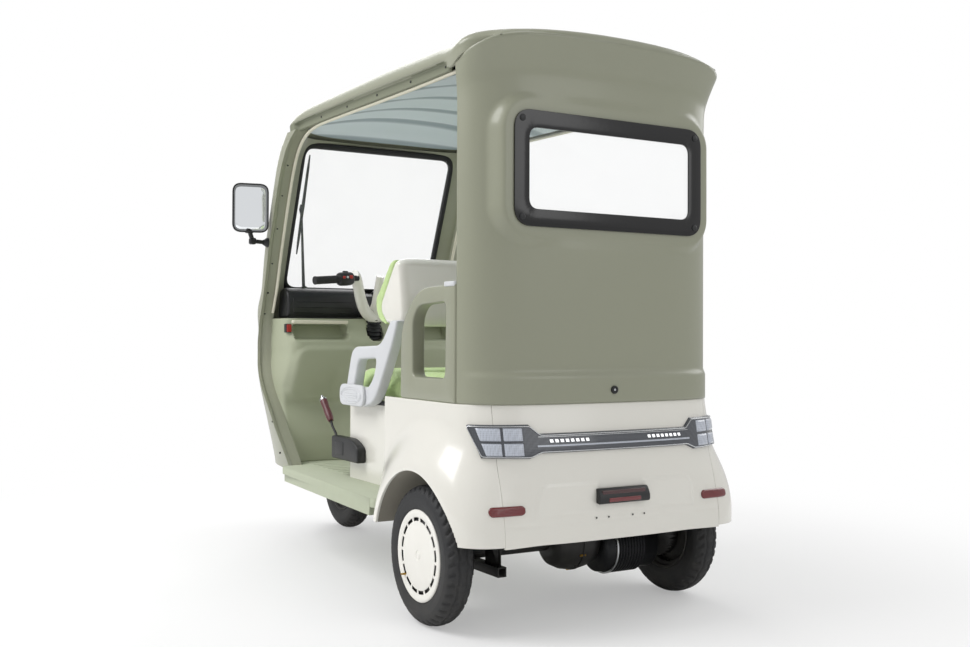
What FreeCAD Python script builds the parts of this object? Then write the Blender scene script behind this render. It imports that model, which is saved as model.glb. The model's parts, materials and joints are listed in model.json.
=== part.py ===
# Electric auto rickshaw: one front wheel, two rear wheels, a roofed cabin with open sides.
# Millimetres. The origin is on the ground below the middle of the length,
# +X is the vehicle's left, +Y its rear and +Z up, so that its front looks along -Y.
import FreeCAD, Part, Sketcher
import math
import os
from FreeCAD import Placement, Rotation, Vector

# Sizes that can each be set by itself, in millimetres, except angles, which are in degrees
driving_sizes = {
    # Whole vehicle
    "front_overhang": 235, "wheelbase": 1735, "rear_overhang": 360, "rear_track": 949,
    "cabin_width": 950, "seat_gap": 0.3,
    # Wheels
    "tyre_diameter": 430, "tyre_width": 92, "rim_diameter": 286, "rim_width": 68,
    "hub_radius": 40, "axle_radius": 10, "cap_diameter": 252, "cap_thickness": 5,
    "cap_slots": 16, "cap_slot_radius": 111, "cap_slot_width": 7, "cap_slot_length": 34,
    "cap_boss_radius": 16, "tyre_wall": 22,
    # Nose and pillars
    "pillar_thickness": 60, "nose_wall": 14, "nose_low_z": 330, "belt_z": 815, "pillar_band": 81,
    "pillar_corner": 182, "front_skin_gap": 8,
    # Windscreen
    "screen_lean": 22.8, "screen_setback": 572, "screen_height": 591, "screen_side": 121,
    "screen_below_rail": 29, "screen_radius": 50, "glass_thickness": 5, "gasket_width": 18,
    "gasket_depth": 24, "glass_edge": 4,
    # Roof
    "rail_front_z": 1722, "rail_drop": 22, "lip_rise": 80, "roof_crown": 124, "roof_fall": 30,
    "roof_wall": 12, "roof_rear_gap": 7, "roof_sweep": 62, "roof_lead": 105, "roof_end_inset": 46,
    "gutter_depth": 14, "gutter_width": 21, "gutter_low": 14.5,
    "lining_wall": 7, "lining_ribs": 6, "rib_depth": 8, "lining_arch": 52,
    "trim_width": 13, "trim_depth": 9,
    # Rear wall
    "back_setback": 67, "seam_depth": 143, "back_corner": 240, "back_crown": 14, "back_wall": 22,
    "waist_z": 688, "crease_z": 776, "crease_out": 12, "visor_out": 60, "visor_height": 88,
    "window_side": 118, "window_below_rail": 161, "window_height": 346, "window_frame": 52,
    "window_radius": 60, "plateau_edge": 26, "plateau_shoulder": 36, "plateau_setback": 4,
    # Quarter panels
    "quarter_length": 368, "quarter_top_z": 1045, "quarter_wall": 46, "quarter_window_low": 760,
    "quarter_window_height": 236, "quarter_window_setback": 87, "quarter_window_length": 218,
    # Floor and leg shield
    "floor_z": 345, "floor_thickness": 30, "sill_height": 58, "sill_width": 34,
    "floor_setback": 475, "sill_setback": 609, "floor_rib_height": 3, "floor_rib_width": 9,
    "floor_ribs": 9, "floor_rib_pitch": 52, "shield_wall": 12, "shelf_low": 866, "shelf_height": 78,
    "shelf_inner": 132, "shelf_side": 99,
    # Seat
    "seat_side": 125, "seat_length": 950, "seat_top_z": 652, "seat_wall": 8,
    "cushion_thickness": 112, "cushion_inset": 15, "cushion_length": 440,
    "rear_cushion_length": 420, "cushion_gap": 24, "backrest_side": 110, "battery_length": 420, "battery_width": 380,
    "battery_height": 230, "handrail_width": 42,
    # Rear body
    "fender_wall": 8, "fender_length": 327, "tyre_gap": 20.5, "arch_gap": 47, "arch_reach": 165,
    "fender_low_z": 283, "skirt_side": 69, "skirt_low_z": 277, "emboss": 2.8,
    "plate_hole_z": 346, "plate_hole_radius": 3, "plate_hole_inner": 45.5, "plate_hole_outer": 90.5,
    "lamp_bar_low": 552.5, "lamp_bar_high": 604, "cluster_low": 531, "cluster_high": 631,
    "lamp_bar_out": 10, "lamp_side": 9, "cluster_neck": 163, "plate_lamp_half": 96,
    "plate_lamp_low": 386, "plate_lamp_high": 436, "reflector_z": 383, "reflector_side": 99,
    # Frame, axle and motor
    "frame_tube": 30, "frame_side": 260, "frame_overhang": 240, "axle_tube_radius": 27,
    "diff_radius": 96, "diff_width": 190, "diff_x": -42, "stub_length": 60, "motor_radius": 92,
    "motor_fins": 10, "motor_fin_start": 30, "motor_cap": 64.7, "drum_radius": 86, "drum_width": 40,
    "spring_radius": 20, "spring_inset": 110.5, "arm_half": 15, "arm_z": 160,
    "square_tube": 30, "square_wall": 3, "square_low": 152, "stub_x": 300,
    # Steering
    "rake": 20, "stem_radius": 15, "fork_leg_radius": 18, "fork_half": 76,
    "head_tube_radius": 27, "head_tube_length": 130, "head_tube_low": 545,
    "bar_z": 1150, "bar_half": 345, "bar_radius": 12, "grip_radius": 17, "grip_length": 118,
    # Outside mirrors
    "mirror_setback": 493, "mirror_out": 88, "mirror_z": 1428, "mirror_half_width": 76,
    "mirror_half_height": 104, "mirror_depth": 34,
}

# Sizes and places that follow from the others, as formulas of the sheet
following_sizes = {
    "tail_y": "=(front_overhang + wheelbase + rear_overhang) / 2",
    "nose_y": "=-1 * tail_y",
    "front_axle_y": "=nose_y + front_overhang",
    "rear_axle_y": "=tail_y - rear_overhang",
    "wheel_z": "=tyre_diameter / 2",
    "half_cabin": "=cabin_width / 2",
    "half_track": "=rear_track / 2",
    "roof_height": "=rail_front_z + roof_crown",
    "roof_rear_y": "=tail_y - roof_rear_gap",
    "screen_top_z": "=rail_front_z - screen_below_rail",
    "screen_low_z": "=screen_top_z - screen_height",
    "screen_top_y": "=nose_y + screen_setback",
    "screen_half": "=half_cabin - screen_side",
    "back_y": "=tail_y - back_setback",
    "back_seam_y": "=back_y - seam_depth",
    "plateau_y": "=back_y - plateau_setback",
    "window_half": "=half_cabin - window_side",
    "window_high": "=rail_front_z - window_below_rail",
    "window_low": "=window_high - window_height",
    "quarter_front_y": "=back_seam_y - quarter_length",
    "floor_front_y": "=nose_y + floor_setback",
    "sill_front_y": "=nose_y + sill_setback",
    "floor_front_half": "=half_cabin - 130",
    "sill_front_half": "=half_cabin - 15",
    "sill_rear_half": "=half_cabin + 41",
    "seat_half": "=half_cabin - seat_side",
    "seat_front_y": "=rear_axle_y - seat_length",
    "cushion_half": "=seat_half - cushion_inset",
    "backrest_half": "=half_cabin - backrest_side",
    "fender_front_y": "=rear_axle_y - fender_length",
    "fender_flare": "=half_track + tyre_width / 2 + tyre_gap - half_cabin",
    "arch_radius": "=wheel_z + arch_gap",
    "liner_x": "=half_track - 78.5",
    "skirt_half": "=half_cabin - skirt_side",
    "lamp_outer": "=half_cabin - lamp_side",
    "lamp_neck": "=half_cabin - cluster_neck",
    "reflector_x": "=half_cabin - reflector_side",
    "frame_half": "=half_cabin - frame_side",
    "frame_rear_y": "=rear_axle_y + frame_overhang",
    "frame_top": "=floor_z - floor_thickness",
    "frame_low": "=frame_top - frame_tube",
    "spring_x": "=half_track - spring_inset",
    "drum_outer": "=half_track - rim_width / 2 - 1",
    "motor_start": "=diff_width / 2 - diff_x + seat_gap",
    "motor_end": "=spring_x - 24",
    "motor_fin_pitch": "=(motor_end - motor_start - motor_fin_start - motor_cap) / (motor_fins - 1)",
    "shelf_length": "=half_cabin - shelf_inner - shelf_side",
    "mirror_x": "=half_cabin + mirror_out",
    "mirror_y": "=nose_y + mirror_setback",
}

doc = FreeCAD.newDocument("auto_rickshaw")
sheet = doc.addObject("Spreadsheet::Sheet", "Sizes")
for row, (alias, value) in enumerate({**driving_sizes, **following_sizes}.items(), start=1):
    sheet.set(f"A{row}", alias)
    sheet.set(f"B{row}", str(value))
    sheet.setAlias(f"B{row}", alias)
doc.recompute()


class Size(float):
    """A number that remembers the sheet expression that it comes from."""

    def __new__(cls, number, text):
        size = super().__new__(cls, number)
        size.text = text
        return size

    def join(self, other, number, sign, swapped=False):
        left, right = (other, self) if swapped else (self, other)
        return Size(number, f"({text_of(left)} {sign} {text_of(right)})")

    def __add__(self, other):
        return self.join(other, float(self) + float(other), "+")

    def __radd__(self, other):
        return self.join(other, float(self) + float(other), "+", swapped=True)

    def __sub__(self, other):
        return self.join(other, float(self) - float(other), "-")

    def __rsub__(self, other):
        return self.join(other, float(other) - float(self), "-", swapped=True)

    def __mul__(self, other):
        return self.join(other, float(self) * float(other), "*")

    def __rmul__(self, other):
        return self.join(other, float(self) * float(other), "*", swapped=True)

    def __truediv__(self, other):
        return self.join(other, float(self) / float(other), "/")

    def __neg__(self):
        return Size(-float(self), f"(-1 * {self.text})")


def text_of(number):
    return number.text if isinstance(number, Size) else repr(float(number))


class Sheet:
    """The sheet's cells as attributes: plain numbers, or sizes that stay bound to their cells."""

    def __init__(self, bound):
        self.bound = bound

    def __getattr__(self, alias):
        number = float(sheet.get(alias))
        return Size(number, f"Sizes.{alias}") if self.bound else number


mm = Sheet(bound=False)
cell = Sheet(bound=True)
parts = {}


def sub_part(feature, label):
    feature.Label = label
    parts[label] = feature
    return feature


def bind(feature, **sizes):
    """Sets properties of a feature to sizes, by expression."""
    for name, number in sizes.items():
        feature.setExpression(name.replace("__", "."), text_of(number))
    return feature


def place(feature, x, y, z):
    return bind(feature, Placement__Base__x=x, Placement__Base__y=y, Placement__Base__z=z)


def shaped(label, shape):
    """A sub-part whose form no sketch or primitive gives."""
    feature = doc.addObject("Part::Feature", label)
    feature.Shape = shape
    return sub_part(feature, label)


# Geometry helpers
def smooth(value, low, high):
    """0 below low, 1 above high and a smooth rise between them."""
    share = min(max((value - low) / (high - low), 0.0), 1.0)
    return share * share * (3 - 2 * share)


def spread(low, high, count):
    return [low + (high - low) * i / (count - 1) for i in range(count)]


def between(stations, position):
    """The values of a list of (position, value) stations at a position, in straight runs."""
    for (p, a), (q, b) in zip(stations, stations[1:]):
        if position <= q:
            share = max(position - p, 0.0) / (q - p)
            return a + (b - a) * share
    return stations[-1][1]


def flowing(stations, position):
    """A smooth curve through (position, value) stations that never overshoots them."""
    places = [p for p, _ in stations]
    values = [v for _, v in stations]
    slopes = [(values[i + 1] - values[i]) / (places[i + 1] - places[i]) for i in range(len(places) - 1)]
    tangents = [slopes[0]]
    for before, after in zip(slopes, slopes[1:]):
        tangents.append(0.0 if before * after <= 0 else 2 * before * after / (before + after))
    tangents.append(slopes[-1])
    if position <= places[0]:
        return values[0]
    if position >= places[-1]:
        return values[-1]
    i = max(k for k, p in enumerate(places) if p <= position)
    step = places[i + 1] - places[i]
    t = (position - places[i]) / step
    return (values[i] * (1 + 2 * t) * (1 - t) ** 2 + tangents[i] * step * t * (1 - t) ** 2
            + values[i + 1] * t * t * (3 - 2 * t) + tangents[i + 1] * step * t * t * (t - 1))


def rounded(corners, radii):
    """A closed wire through corners, each rounded to its radius."""
    arcs = []
    for i, corner in enumerate(corners):
        radius = radii[i] if isinstance(radii, (list, tuple)) else radii
        before = (corners[i - 1] - corner).normalize()
        after = (corners[(i + 1) % len(corners)] - corner).normalize()
        half = before.getAngle(after) / 2
        if radius <= 0:
            arcs.append((corner, None, corner))
            continue
        reach = radius / math.tan(half)
        bisector = (before + after).normalize()
        middle = corner + bisector * (radius / math.sin(half) - radius)
        arcs.append((corner + before * reach, middle, corner + after * reach))
    edges = []
    for i, (start, middle, end) in enumerate(arcs):
        if middle is not None:
            edges.append(Part.Arc(start, middle, end).toShape())
        follower = arcs[(i + 1) % len(arcs)][0]
        if end.distanceToPoint(follower) > 0.001:
            edges.append(Part.makeLine(end, follower))
    return Part.Wire(edges)


def prism(corners, radii, along):
    """A rounded outline swept along a vector."""
    return Part.Face(rounded(corners, radii)).extrude(along)


def side_prism(points, radii, low_x, high_x):
    """An outline given in the side view as (y, z) points, from one x to another."""
    corners = [Vector(low_x, y, z) for y, z in points]
    return prism(corners, radii, Vector(high_x - low_x, 0, 0))


def rear_prism(points, radii, low_y, high_y):
    """An outline given in the rear view as (x, z) points, from one y to another."""
    corners = [Vector(x, low_y, z) for x, z in points]
    return prism(corners, radii, Vector(0, high_y - low_y, 0))


def box(low_x, high_x, low_y, high_y, low_z, high_z):
    corner = Vector(low_x, low_y, low_z)
    return Part.makeBox(high_x - low_x, high_y - low_y, high_z - low_z, corner)


def tube(start, end, radius):
    return Part.makeCylinder(radius, (end - start).Length, start, end - start)


def soft_box(low_x, high_x, low_y, high_y, low_z, high_z, radius):
    """A box with every edge rounded."""
    solid = box(low_x, high_x, low_y, high_y, low_z, high_z)
    return solid.makeFillet(radius, solid.Edges)


def chord_places(lines):
    """Parameters from 0 to 1 along a bundle of point runs, by the mean of their chord lengths."""
    places = [0.0] * len(lines[0])
    for line in lines:
        steps = [0.0] + [a.distanceToPoint(b) for a, b in zip(line, line[1:])]
        length = sum(steps)
        total = 0.0
        for i, step in enumerate(steps):
            total += step
            places[i] += total / length / len(lines)
    places[-1] = 1.0
    return places


def spline(points, places):
    curve = Part.BSplineCurve()
    curve.interpolate(Points=points, Parameters=places)
    return curve


def surface(grid):
    """A bicubic surface through a grid of points: splines along the rows, then across their poles."""
    columns = list(zip(*grid))
    u, v = chord_places(columns), chord_places(grid)
    along_rows = [spline(row, v) for row in grid]
    row_poles = [curve.getPoles() for curve in along_rows]
    across = [spline(list(line), u) for line in zip(*row_poles)]
    poles = [list(line) for line in zip(*[curve.getPoles() for curve in across])]
    face = Part.BSplineSurface()
    face.buildFromPolesMultsKnots(poles, across[0].getMultiplicities(), along_rows[0].getMultiplicities(),
                                  across[0].getKnots(), along_rows[0].getKnots(), False, False,
                                  across[0].Degree, along_rows[0].Degree)
    return face


def skin(outer, inner):
    """A closed wall between two surfaces through grids of points."""
    a, b = surface(outer), surface(inner)
    first_u, last_u, first_v, last_v = a.bounds()
    faces = [a.toShape(), b.toShape()]
    for end in (first_u, last_u):
        faces.append(Part.makeRuledSurface(a.uIso(end).toShape(), b.uIso(end).toShape()))
    for end in (first_v, last_v):
        faces.append(Part.makeRuledSurface(a.vIso(end).toShape(), b.vIso(end).toShape()))
    shell = Part.makeShell(faces)
    shell.sewShape()
    solid = Part.makeSolid(shell)
    if solid.Volume < 0:
        solid.reverse()
    return solid


def mirrored(shape):
    return shape.mirror(Vector(0, 0, 0), Vector(1, 0, 0))


def both_sides(shape):
    return Part.makeCompound([shape, mirrored(shape)])


def evenly(points, count, turn_weight=0.0):
    """A run of points resampled at equal steps of its length, plus a weight for each radian that it turns."""
    stations = [(0.0, points[0])]
    run = None
    for point in points[1:]:
        step = point - stations[-1][1]
        if step.Length > 0.01:
            turn = 0.0 if run is None else run.getAngle(step)
            stations.append((stations[-1][0] + step.Length + turn_weight * turn, point))
            run = step
    return [between(stations, distance) for distance in spread(0.0, stations[-1][0], count)]


def outward(points, distances):
    """Plan points moved to the right of their run by a distance for each."""
    moved = []
    for i, point in enumerate(points):
        ahead = points[min(i + 1, len(points) - 1)]
        behind = points[max(i - 1, 0)]
        run = Vector(ahead.x - behind.x, ahead.y - behind.y, 0).normalize()
        moved.append(point + Vector(run.y, -run.x, 0) * distances[i])
    return moved


rake = math.radians(mm.rake)
lean = math.tan(math.radians(mm.screen_lean))
steering_axis = Vector(0, math.sin(rake), math.cos(rake))


def screen_y(z):
    """Where the windscreen's outer plane stands at a height."""
    return mm.screen_top_y - (mm.screen_top_z - z) * lean


def steering_point(z):
    """The point of the steering axis at a height: it passes through the front wheel's centre."""
    return Vector(0, mm.front_axle_y + (z - mm.wheel_z) * math.tan(rake), z)


# Nose and pillars
def door_y(z):
    """Front edge of the side opening at a height: the nose's, then a band behind the windscreen."""
    waist, join = 880, 992
    if z < waist:
        return mm.nose_y + flowing([(mm.nose_low_z, mm.sill_setback), (407, 547), (487, 483), (590, 418),
                                    (673, 351), (740, 309), (800, 291), (847, 295), (waist, 307)], z)
    below = max(mm.rail_front_z - 2 - z, 0.0) / mm.pillar_corner
    curl = 156 * (1 - math.sqrt(1 - max(1 - below - 0.011, 0) ** 2))
    band = screen_y(z) + mm.pillar_band + curl
    if z < join:
        share = smooth(z, waist, join)
        return (mm.nose_y + 307 + (z - waist) * 0.45) * (1 - share) + band * share
    return band


def front_section(z):
    """Plan form of the nose and pillars at a height: half width, centre, depth and roundness."""
    top = mm.rail_front_z
    half = mm.half_cabin + flowing([(330, -13), (600, 9), (mm.belt_z, 23), (1000, 16), (1102, 5), (top, 1)], z)
    pillar_front = screen_y(z) - mm.front_skin_gap
    nose_front = mm.nose_y + flowing([(330, 12), (480, 3), (640, 0), (760, 12), (860, 55), (940, 125),
                                      (1010, 215), (1090, 311)], z)
    share = smooth(z, 990, 1090)
    front = nose_front * (1 - share) + pillar_front * share
    depth = flowing([(330, 590), (600, 480), (mm.belt_z, 400), (940, 290), (1064, 150), (top, 130)], z)
    power = flowing([(330, 2.2), (mm.belt_z, 2.1), (940, 2.6), (1064, 6.4), (1300, 8.5), (top - 122, 7.5),
                     (top - 56, 5), (top - 22, 3.4), (top, 2.6)], z)
    return half, front + depth, depth, power


def front_outline(z, count):
    """Outer plan curve from the left opening's edge round the front to the right one's."""
    half, centre, depth, power = front_section(z)
    edge = door_y(z)
    first = math.asin(min(max((centre - edge) / depth, 0.0), 1.0) ** (power / 2))
    points = []
    for angle in spread(first, math.pi - first, 481):
        x = half * abs(math.cos(angle)) ** (2 / power)
        y = centre - depth * abs(math.sin(angle)) ** (2 / power)
        points.append(Vector(math.copysign(x, math.cos(angle)), y, z))
    points[0].y = points[-1].y = edge
    return evenly(points, count, 260)


def inner_outline(z, count=33):
    """The same curve on the inner face, thin at the nose and deep at the pillars."""
    half, centre, depth, _ = front_section(z)
    edge = door_y(z)
    inner = []
    for point in front_outline(z, count):
        wall = mm.nose_wall + (mm.pillar_thickness - mm.nose_wall) * smooth(abs(point.x), 330, 440)
        ahead = max(centre - point.y, 0.0) / depth * smooth(edge - point.y, 0, 80)
        direction = Vector(point.x / half, -ahead, 0).normalize()
        inner.append(point - direction * wall)
    return inner


def front_panel():
    top = mm.rail_front_z - mm.seat_gap
    levels = [mm.nose_low_z, 420, 520, 620, 710, 790, 860, 920, 975, 1030, 1090, 1200, 1380, 1540, 1630, 1690, top]
    outer, inner = [front_outline(z, 33) for z in levels], [inner_outline(z) for z in levels]
    for point in outer[-1] + inner[-1]:
        point.z = rail_z(point.y) - mm.seat_gap
    return skin(outer, inner).cut(screen_hole(0)).cut(headlamps())


def screen_corners(grow, offset):
    """Corners of the windscreen grown by an edge, on its plane moved forward by an offset."""
    half = mm.screen_half + grow
    rise = grow * math.cos(math.atan(lean))
    corners = []
    for x, z in ((half, mm.screen_top_z + rise), (-half, mm.screen_top_z + rise),
                 (-half, mm.screen_low_z - rise), (half, mm.screen_low_z - rise)):
        corners.append(Vector(x, screen_y(z) - offset, z))
    return corners


def screen_slab(grow, front, depth):
    """A rounded slab in the windscreen's plane, from its front face back by a depth."""
    return prism(screen_corners(grow, front), mm.screen_radius + grow, Vector(0, depth, 0))


def screen_hole(extra):
    return screen_slab(mm.gasket_width + extra, 120, 260)


# Roof: a shell whose rim follows the pillars, the rails and the rear lip
def rail_z(y):
    """Lower edge of the roof, which rises behind the seam to the lip over the rear window."""
    drop = mm.rail_drop * smooth(y, mm.nose_y + 715, mm.back_y - 198)
    share = min(max((y - mm.back_seam_y + 15) / (mm.roof_rear_y - mm.back_seam_y + 15), 0), 1)
    return mm.rail_front_z - drop + mm.lip_rise * share ** 1.2


def roof_front_y():
    return screen_y(mm.rail_front_z) - mm.front_skin_gap


def roof_half(y):
    """Half width of the roof, which narrows at both ends and follows the rear flare."""
    ends = 30 * smooth(roof_front_y() - y, -110, 0) ** 2 + 75 * smooth(y, mm.roof_rear_y - 160, mm.roof_rear_y) ** 2
    return mm.half_cabin + 10 * smooth(y, mm.back_y - 248, mm.back_y - 78) - ends


def roof_rows(side_inset, end_inset, wall):
    """Grid of a roof surface, inset at the sides and ends and lowered by a wall."""
    side = [(0, 0, 0), (0.3, 6, .18), (0.6, 12, .34), (3, 18, .44), (9, 24, .53), (20, 28, .615), (38, 30, .70),
            (68, 28, .77), (110, 22, .83), (170, 14, .895), (250, 6, .949), (350, 0, .985), (mm.half_cabin, 0, 1)]
    front_end = [(0, 0), (8, .11), (24, .25), (50, .42), (100, .645), (165, .82), (250, .935)]
    rear_end = [(0, 0), (1.5, .22), (6, .49), (18, .70), (42, .85), (100, .955), (200, .99)]
    first, last = roof_front_y(), mm.roof_rear_y
    stations = [(first + end_inset + d, rise) for d, rise in front_end]
    stations += [(y, 1.0) for y in spread(first + 380, last - 330, 5)]
    stations += [(last - end_inset - d, rise) for d, rise in reversed(rear_end)]
    rows = []
    for y, end_rise in stations:
        row = []
        half = roof_half(y) - side_inset
        for inset, end_inward, side_rise in side:
            inset += end_inward * (1 - end_rise) ** 2
            x = (mm.half_cabin - inset) / mm.half_cabin * half
            share = x / half
            sweep = mm.roof_sweep * smooth(y, last - 378, last) * share ** 2.4
            lead = mm.roof_lead * smooth(-y, -first - 370, -first) * share ** 5
            place_y = y - sweep + lead
            low = rail_z(place_y)
            top = mm.roof_height - mm.roof_fall * smooth(y, last - 858, last)
            row.append(Vector(x, place_y, low + (top - wall - low) * side_rise * end_rise))
        rows.append(row + [Vector(-p.x, p.y, p.z) for p in reversed(row[:-1])])
    return rows


def roof_panel():
    """Roof shell with a long gutter in each side above its rim."""
    shell = skin(roof_rows(0, 0, 0), roof_rows(mm.pillar_thickness, mm.roof_end_inset, mm.roof_wall))
    first, last = roof_front_y() + 229, mm.back_seam_y - 55
    stations = spread(first, last, 6)
    low = [(y, rail_z(y) + mm.gutter_low) for y in stations]
    high = [(y, z + mm.gutter_width) for y, z in reversed(low)]
    ends = [8] + [0] * 4 + [8, 8] + [0] * 4 + [8]
    gutter = side_prism(low + high, ends, mm.half_cabin - mm.gutter_depth, mm.half_cabin + 30)
    return shell.cut(both_sides(gutter))


def roof_lining():
    """Ribbed ceiling sheet between the rails."""
    first, last = roof_front_y() + mm.roof_end_inset + 30, mm.back_y - mm.back_wall - 30
    rib_pitch = (last - first) / mm.lining_ribs

    def rows(lower):
        grid = []
        for y in spread(first, last, 8 * int(mm.lining_ribs) + 1):
            wave = abs(math.sin(math.pi * (y - first) / rib_pitch)) ** 6
            half = roof_half(y) - mm.pillar_thickness - 1
            row = []
            for share in spread(1, -1, 13):
                side = abs(share)
                corner = mm.roof_lead * smooth(-y, -first - 200, -first) * side ** 5
                arch = mm.lining_arch * (1 - side ** 2.4) * smooth(y, first - 60, first + 330)
                rib = mm.rib_depth * wave * smooth(1 - side, 0.03, 0.2)
                seat = rail_z(min(y, mm.back_seam_y - 75)) + mm.lining_wall + 1
                row.append(Vector(half * share, y + corner, seat + arch - min(rib, arch) - lower))
            grid.append(row)
        return grid
    return skin(rows(0), rows(mm.lining_wall))


# Rear wall: wraps round both corners and flares out under the roof's lip
def back_outline(z, half, back_y, depth, crown, out, count, limit):
    """Plan curve round the rear from the left side to the right, as far forward as a limit."""
    centre = back_y - depth
    points = []
    for angle in spread(0.0, math.pi, 241):
        x = math.copysign(half * abs(math.cos(angle)) ** 0.5, math.cos(angle))
        y = centre + depth * abs(math.sin(angle)) ** 0.5 - crown * (x / half) ** 2
        if y > limit:
            points.append(Vector(x, y, z))
    side = Vector(points[0].x, limit, z)
    points = evenly([side] + points + [Vector(-side.x, limit, z)], count)
    return outward(points, [out(p) for p in points])


def back_point_rows(inset, count=33):
    """Grid of the rear wall's surface, from the waist to the roof's lip."""
    levels = [0, .045, .07, .083, .097, .12, .2, .4, .6, .78, .86, .90, .93, .955, .98, 1]
    flat = back_outline(0, mm.half_cabin, mm.back_y, mm.back_corner, mm.back_crown, lambda p: 0.0, count,
                        mm.back_seam_y)
    grid = []
    for level in levels:
        row, distances = [], []
        for point in flat:
            lip = rail_z(point.y) - 0.8
            z = mm.waist_z + level * (lip - mm.waist_z)
            rearward = smooth(point.y, mm.back_seam_y, mm.back_y - 20)
            rise = (z - lip + mm.visor_height) / mm.visor_height
            flare = mm.visor_out * (rise + math.sqrt(rise ** 2 + 0.08)) / 2.04
            bulge = mm.crease_out * (1 - smooth(z, mm.crease_z - 10, mm.crease_z + 12))
            distances.append(flare * (0.16 + 0.84 * rearward) + bulge * rearward - inset)
            row.append(Vector(point.x, point.y, z))
        moved = outward(row, distances)
        for point, old in zip(moved, row):
            point.z = old.z if level < 1 else rail_z(point.y) - 0.8
        moved[0].y = moved[-1].y = mm.back_seam_y
        grid.append(moved)
    return grid


def window_outline(grow, y, radius):
    """Corners' wire of the rear window grown by an edge."""
    half, low, high = mm.window_half + grow, mm.window_low - grow, mm.window_high + grow
    return rounded([Vector(half, y, low), Vector(half, y, high), Vector(-half, y, high), Vector(-half, y, low)],
                   radius)


def window_slab(inset, low_y, high_y):
    outline = window_outline(-inset, low_y, mm.window_radius - inset / 2)
    return Part.Face(outline).extrude(Vector(0, high_y - low_y, 0))


def rear_panel():
    """Rear wall with a flat raised field round its window and a small round plug below it."""
    wall = skin(back_point_rows(0), back_point_rows(mm.back_wall))
    edge, shoulder = mm.plateau_edge, mm.plateau_shoulder
    face = window_outline(edge, mm.plateau_y, 85)
    root = window_outline(edge + shoulder, mm.plateau_y - shoulder, 85 + shoulder)
    field = Part.makeLoft([root, face], True, True)
    above = Part.Face(face).extrude(Vector(0, 40, 0))
    inside = Part.Face(window_outline(edge + shoulder, mm.back_y - 300, 85 + shoulder)).extrude(
        Vector(0, 300 - mm.back_wall - 4, 0))
    return wall.cut(above).fuse(field.cut(inside)).cut(window_slab(0, mm.back_y - 120, mm.back_y + 60))


def rear_window_frame():
    low, high = mm.plateau_y - mm.back_wall, mm.plateau_y + 6
    frame = window_slab(mm.seat_gap, low, high).cut(window_slab(mm.window_frame, low - 1, high + 1))
    return frame.cut(rear_window_glass(mm.seat_gap))


def rear_window_glass(grow=0.0):
    middle = mm.plateau_y - 8
    return window_slab(mm.window_frame - 12 - grow, middle - grow, middle + mm.glass_thickness + grow)


def quarter_panels():
    """Side panels with a window between the seat and the rear wall."""
    low_x, high_x = mm.half_cabin - mm.quarter_wall, mm.half_cabin
    front, rear, top = mm.quarter_front_y, mm.back_seam_y - mm.seat_gap, mm.quarter_top_z
    outline = [(front, mm.waist_z), (rear, mm.waist_z), (rear, top), (front + 120, top - 3), (front + 5, top - 120)]
    panel = side_prism(outline, [12, 0, 0, 110, 60], low_x, high_x)
    low, high = mm.quarter_window_low, mm.quarter_window_low + mm.quarter_window_height
    first = front + mm.quarter_window_setback
    last = first + mm.quarter_window_length
    window = [(first, low), (last, low), (last + 5, high), (first + 40, high - 8), (first - 2, high - 50)]
    return both_sides(panel.cut(side_prism(window, [26, 26, 26, 60, 40], low_x - 10, high_x + 10)))


# Lower rear body: fenders and skirt share one outline
def body_flare(y, z):
    """How far the side stands out over the arch at a place."""
    distance = math.hypot(y - mm.rear_axle_y, z - mm.wheel_z)
    return mm.fender_flare * smooth(mm.arch_radius + mm.arch_reach - distance, 0, mm.arch_reach)


def body_back_y(z):
    return mm.back_y + flowing([(mm.skirt_low_z, 41), (340, 45.5), (461, 45), (540, 36), (600, 24),
                                (mm.waist_z, 6)], z)


def body_outline(z, inset):
    """Closely spaced plan points of the lower body's outer side, from its left front edge round the rear."""
    def out(point):
        sideways = smooth(abs(point.x), 250, mm.half_cabin - 20)
        return body_flare(point.y, z) * sideways - inset
    return back_outline(z, mm.half_cabin + 3, body_back_y(z), 245, 16, out, 161, mm.fender_front_y)


def at_x(points, x):
    """The point of a plan outline where it crosses an x position on the rear."""
    for a, b in zip(points, points[1:]):
        if (a.x - x) * (b.x - x) <= 0 and a.y > mm.rear_axle_y:
            return a + (b - a) * ((x - a.x) / (b.x - a.x))
    return points[-1]


def strip(z, inset, first_x, last_x, count):
    """Plan points between two x positions, with exact ends; first_x None starts at the front edge."""
    outline = body_outline(z, inset)
    end = at_x(outline, last_x)
    rear_start = outline[0] if first_x is None else at_x(outline, first_x)
    inside = [p for p in outline if p.x > last_x + 2 and (first_x is None or p.x < first_x - 2)]
    inside = [p for p in inside if first_x is None or p.y > mm.rear_axle_y]
    return evenly([rear_start] + inside + [end], count)


def body_skin(first_x, last_x, levels, outside, inside, count):
    """A piece of wall on the lower body, between two offsets outwards from its surface."""
    outer = [strip(z, -outside, first_x, last_x, count) for z in levels]
    inner = [strip(z, -inside, first_x, last_x, count) for z in levels]
    return skin(outer, inner)


def fender_levels():
    height = mm.waist_z - mm.seat_gap - mm.fender_low_z
    return [mm.fender_low_z + height * s for s in (0, .08, .2, .32, .44, .56, .68, .78, .88, .95, 1)]


def wheel_arch(radius, low_x, high_x):
    return tube(Vector(low_x, mm.rear_axle_y, mm.wheel_z), Vector(high_x, mm.rear_axle_y, mm.wheel_z), radius)


def rear_fenders():
    wall = body_skin(None, mm.skirt_half + mm.seat_gap, fender_levels(), 0, -mm.fender_wall, 41)
    return both_sides(wall.cut(wheel_arch(mm.arch_radius, mm.liner_x, mm.half_cabin + 250)))


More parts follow.
